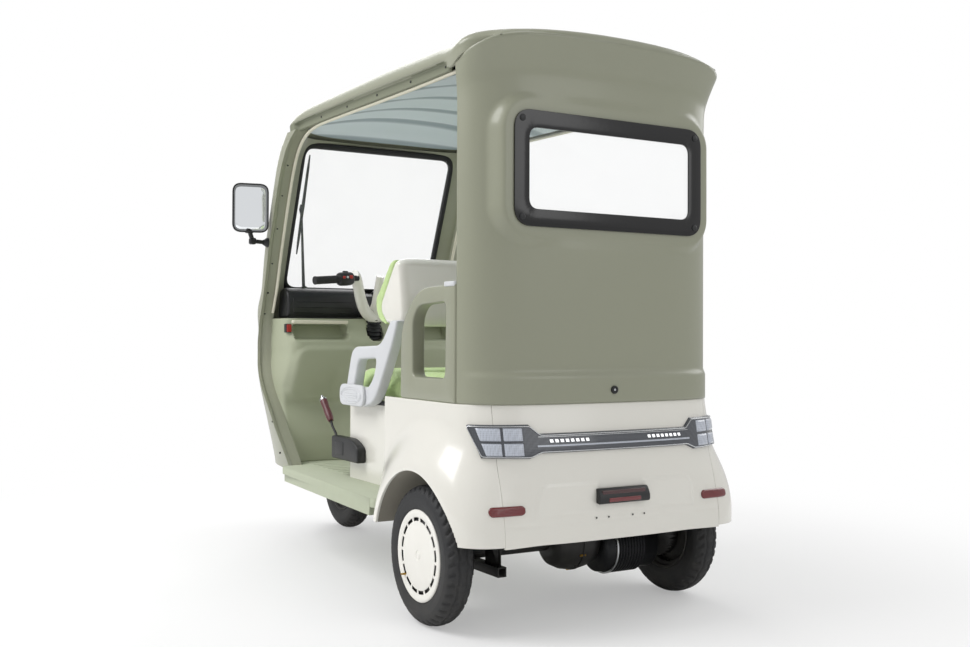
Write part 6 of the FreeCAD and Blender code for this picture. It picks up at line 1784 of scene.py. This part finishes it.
def makeDash(plan):
    # moulded black shelf with a lid outline on the left, a groove along it and a tray edge
    r = plan["rear"]
    profile = roundCorners([(screenY(1.010) + 0.055, 0.968), (r, 0.968), (r + 0.012, 1.010), (r, 1.080),
                            (r - 0.054, 1.102), (screenY(1.085) + 0.042, 1.085)],
                           [0.010, 0.014, 0.040, 0.025, 0.030, 0.010], 10)
    left = pierced("dashSide", profile, [], plan["split"], plan["half"], "x", finishes["blackPlastic"], 0.010,
                   steps=5, spacing=0.008)
    parts = [left, mirroredAcross(left, "dashOther")]
    low = roundCorners([(-0.790, 0.970), (-0.715, 0.970), (-0.708, 1.010), (-0.716, 1.066), (-0.790, 1.084)],
                       0.012, 6)
    half = plan["split"] + 0.001
    parts.append(pierced("dashMiddle", low, [], -half, half, "x", finishes["blackPlastic"], 0.002,
                         spacing=0.010))
    x0, x1, z0, z1 = plan["lid"]
    for side in (1, -1):
        lid = roundCorners([(side * x0, z0), (side * x1, z0), (side * x1, z1), (side * x0, z1)],
                           plan["lidCorner"], 8)
        lid = evenRun(np.vstack([lid, lid[:1]]), 121)
        path = np.stack([lid[:, 0], r + along(plan["face"], lid[:, 1]), lid[:, 1]], -1)
        parts.append(closedBead("lidBead", path, finishes["blackGloss"], up=(0, 1, 0)))
        for z, lift in plan["lines"]:
            x = np.linspace(*plan["lineX"], 20) * side
            path = np.stack([x, np.full(20, r + lift), np.full(20, z)], -1)
            parts.append(closedRod("dashLine", path, 0.0014, finishes["blackGloss"], 8, up=(0, 1, 0)))
    dash = joined("dashSet", parts)
    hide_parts("dashboard")
    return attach(dash, "chassis")


makeDash(dashPlan)

shieldPlan = {"low": 0.3455, "high": 0.9635, "rows": 116, "columns": 182, "corner": 0.055, "tunnel": 0.062,
              "pocket": [0.132, 0.376, 0.872, 0.938], "depth": 0.060, "knee": [0.075, 0.385, 0.600, 0.846],
              "kneeOut": 0.014, "pillarIn": 0.054, "wall": 0.004, "column": (0.905, 0.040),
              "lip": ((0.126, -0.672, 0.940), (0.382, -0.644, 0.956)),
              "switch": [("switchFrame", (0.3860, -0.6780, 0.902), (0.4110, -0.6500, 0.940), "blackPlastic"),
                         ("redSwitch", (0.3885, -0.6600, 0.905), (0.4085, -0.6450, 0.937), "redButton")],
              "profile": [(0.345, -0.676), (0.400, -0.676), (0.460, -0.683), (0.520, -0.701), (0.585, -0.727),
                          (0.625, -0.725), (0.680, -0.690), (0.735, -0.650), (0.790, -0.626), (0.845, -0.613),
                          (0.880, -0.622), (0.915, -0.651), (0.9635, -0.662)]}


def makeShield(plan):
    # inner front wall: a section across at each height, from its middle round a soft corner to the pillar
    grid = []
    for z in np.linspace(plan["low"], plan["high"], plan["rows"]):
        base = float(alongSmooth(plan["profile"], z, 0.03))
        edge = float(alongSmooth(doorEdge, z, 0.03))
        outer = float(frontRow(z, 60)[0, 0])
        half = min(outer - 0.066, 0.402)
        pillar = outer - plan["pillarIn"]
        section = roundCorners([(0.0, base + 0.5), (0.0, base), (half, base), (pillar, edge - 0.004),
                                (pillar, edge + 0.5)], [0, 0, plan["corner"], 0, 0], 16)[1:-1]
        count = plan["columns"] // 2
        grid.append(np.column_stack([evenRun(section, count), np.full(count, z)]))
    left = np.array(grid)
    x, z = left[..., 0], left[..., 2]
    left[..., 1] += plan["tunnel"] * (1 - smoothStep(x, 0.040, 0.190)) * (1 - smoothStep(z, 0.690, 0.810))
    fields = (("knee", 0.070, -0.022, 0.008, plan["kneeOut"]),
              ("pocket", 0.016, -0.004, 0.002, -plan["depth"]))
    for field, corner, inner, outer, lift in fields:
        x0, x1, z0, z1 = plan[field]
        away = roundedDistance(x - (x0 + x1) / 2, z - (z0 + z1) / 2, (x1 - x0) / 2, (z1 - z0) / 2, corner)
        left[..., 1] += lift * (1 - smoothStep(away, inner, outer))
    grid = np.concatenate([left[:, ::-1], left[:, 1:] * [-1, 1, 1]], 1)
    centre = (grid[:-1, :-1] + grid[1:, 1:]) / 2
    columnZ, columnRadius = plan["column"]
    column = np.hypot(centre[..., 0], centre[..., 2] - columnZ) > columnRadius
    shield = cleaned(gridPiece("shieldSkin", grid, finishes["sageInner"], keep=column), outwards=False,
                     sharp=60)
    walled(facing(shield, (0, 1, 0)), plan["wall"])
    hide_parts("leg_shield")
    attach(shield, "chassis")
    parts = []
    for side in (1, -1):
        (near, *low), (far, *high) = plan["lip"]
        near, far = sorted((side * near, side * far))
        parts.append(roundedBlock("shelfLip", (near, *low), (far, *high), 0.005, finishes["creamTrim"]))
    for name, low, high, finish in plan["switch"]:
        parts.append(roundedBlock(name, low, high, 0.003, finishes[finish]))
    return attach(joined("shieldDetails", parts), "chassis")


makeShield(shieldPlan)

reflectorPlan = {"inner": 0.334, "outer": 0.452, "z": 0.3845, "half": 0.0145, "out": 0.0065, "edge": 0.006}


def makeReflectors(plan):
    # a pill on each corner of the body: a grid bent round the surface, swelling inside its outline
    pills = []
    s, half = np.linspace(plan["inner"], plan["outer"], 60), plan["half"]
    ends = np.minimum(s - plan["inner"], plan["outer"] - s)
    tall = half * pillow(ends / half)
    v = np.linspace(-1, 1, 15)[:, None]
    z = plan["z"] + v * tall[None]
    out = -0.001 + plan["out"] * pillow(np.minimum((1 - np.abs(v)) * tall[None], ends[None]) / plan["edge"])
    for side in (1, -1):
        place = bodySurface(side * np.broadcast_to(s, z.shape), z, out, 0.34, 0.43)
        pills.append(cleaned(gridPiece("pill", place, finishes["redLens"])))
    both = joined("reflectorPills", pills)
    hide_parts("rear_reflectors")
    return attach(both, "chassis")


makeReflectors(reflectorPlan)

wiperPlan = {"pivot": (0.252, 1.100), "joint": (0.318, 1.440), "low": (0.314, 1.250), "high": (0.322, 1.664)}


def makeWiper(plan):
    # arm from the pivot to a sprung joint, and a long blade held in its middle
    def onScreen(place, off):
        return np.array((place[0], float(screenY(place[1])) - off, place[1]))

    pivot, joint = onScreen(plan["pivot"], 0.020), onScreen(plan["joint"], 0.022)
    low, high = onScreen(plan["low"], 0.010), onScreen(plan["high"], 0.010)
    run = np.linspace(0, 1, 9)[:, None]
    blade = [0.003, 0.006, 0.0065, 0.007, 0.008, 0.007, 0.0065, 0.006, 0.003]
    parts = [closedRod("wiperArm", pivot + (joint - pivot) * run, np.linspace(0.0075, 0.0045, 9),
                       finishes["blackSteel"], 10, up=(0, 1, 0)),
             closedRod("wiperBlade", low + (high - low) * run, blade, finishes["blackRubber"], 10,
                       flatten=0.7, up=(0, 1, 0)),
             closedRod("wiperJoint", [joint + (0, 0, -0.022), joint, joint + (0, 0, 0.022)],
                       [0.006, 0.011, 0.006], finishes["blackPlastic"], 12, up=(0, 1, 0)),
             turned("wiperPivot", [(-0.026, 0.0), (-0.026, 0.011), (-0.010, 0.014), (0.004, 0.014),
                                   (0.004, 0.0)],
                    onScreen(plan["pivot"], 0.012), "y", finishes["blackPlastic"], 20)]
    wiper = joined("wiperSet", parts)
    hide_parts("wiper")
    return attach(wiper, "chassis")


makeWiper(wiperPlan)

# Front lamps
headPlan = {"lamps": [((0.250, 0.700), 0.078), ((0.330, 0.560), 0.026)], "out": (0.42, -1.0, 0.0)}


def makeHeadlamps(plan):
    # a bright ring round a domed lens, turned to follow the nose
    parts = []
    for (x, z), radius in plan["lamps"]:
        run = frontRow(z, 900)
        front = run[(run[:, 0] > 0) & (run[:, 1] < -0.7)]
        y = float(np.interp(x, np.sort(front[:, 0]), front[np.argsort(front[:, 0]), 1]))
        out = Vector(plan["out"]).normalized()
        place = Matrix.Translation((x, y, z)) @ out.to_track_quat("X", "Z").to_matrix().to_4x4()
        rim = [(-0.012, 0.98), (0.004, 1), (0.009, 0.985), (0.0105, 0.95), (0.0095, 0.90), (0.004, 0.88)]
        dome = [(0.004 + 0.008 * (1 - s * s), 0.885 * s) for s in (0.85, 0.65, 0.4, 0.2, 0.0)]
        bowl = [(0.003, 0.885), (-0.006, 0.55), (-0.006, 0.0)]
        for name, profile, finish, sides in (("lampRim", rim, "brightSteel", 56),
                                             ("lampDome", [(0.004, 0.885)] + dome, "clearLens", 56),
                                             ("lampBowl", bowl, "brightSteel", 40)):
            profile = [(x, radius * share) for x, share in profile]
            parts.append(placed(turned(name, profile, (0, 0, 0), "x", finishes[finish], sides), place))
    lamps = onBothSides(parts, "headlampSet")
    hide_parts("headlamps")
    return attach(lamps, "chassis")


makeHeadlamps(headPlan)
print("mirrors, steering, dash and headlamps made")

# Axle casing details: bolts round the differential and rings on the motor
axlePlan = {"casing": (-0.042, 0.805, 0.215), "motor": (-0.166, 0.823, 0.187), "bolts": 12, "boltStart": 0.13,
            "boltCircle": 0.0935, "boltRadius": 0.0055, "boltHalf": 0.012, "boltOut": 0.004,
            "flange": (0.004, 0.0925, 0.0985), "band": (0.003, 0.0880, 0.0935)}


def makeAxleDetails(plan):
    parts = []
    x, y, z = plan["casing"]
    half, radius = plan["boltHalf"], plan["boltRadius"]
    for i in range(plan["bolts"]):
        turn = 2 * math.pi * i / plan["bolts"] + plan["boltStart"]
        spot = (x + plan["boltOut"], y + plan["boltCircle"] * math.cos(turn),
                z + plan["boltCircle"] * math.sin(turn))
        parts.append(turned("casingBolt", [(-half, 0.0), (-half, radius), (half, radius), (half, 0.0)], spot,
                            "x", finishes["brassPaint" if i % 2 else "blackSteel"], 6))
    for name, place, (half, inner, outer), finish in (
            ("casingFlange", plan["casing"], plan["flange"], "blackSteel"),
            ("motorBand", plan["motor"], plan["band"], "brightSteel")):
        ring = [(-half, inner), (-half, outer), (half, outer), (half, inner)]
        parts.append(turned(name, ring, place, "x", finishes[finish], 64))
    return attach(joined("axleDetails", parts), "chassis")


makeAxleDetails(axlePlan)
print("axle details made")


# CAD parts that keep their own form
plainDress = {"chassis_frame": "blackSteel", "floor_pan": "floorPlastic", "roof_lining": "ceilingSheet",
              "arch_liners": "linerTaupe", "seat_base": "creamPanel", "battery_pack": "batteryCase",
              "windscreen_glass": "windowSheet", "rear_window_glass": "rearWindowSheet",
              "rear_axle": "blackSteel", "drive_motor": "greyAlloy", "rear_springs": "blackSteel",
              "front_fork": "blackSteel"}
for node, finish in plainDress.items():
    body = next((b for b, names in bodyNodes.items() if node in names), "chassis")
    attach(smoothCopy(node, finishes[finish]), body)
print("plain parts dressed")
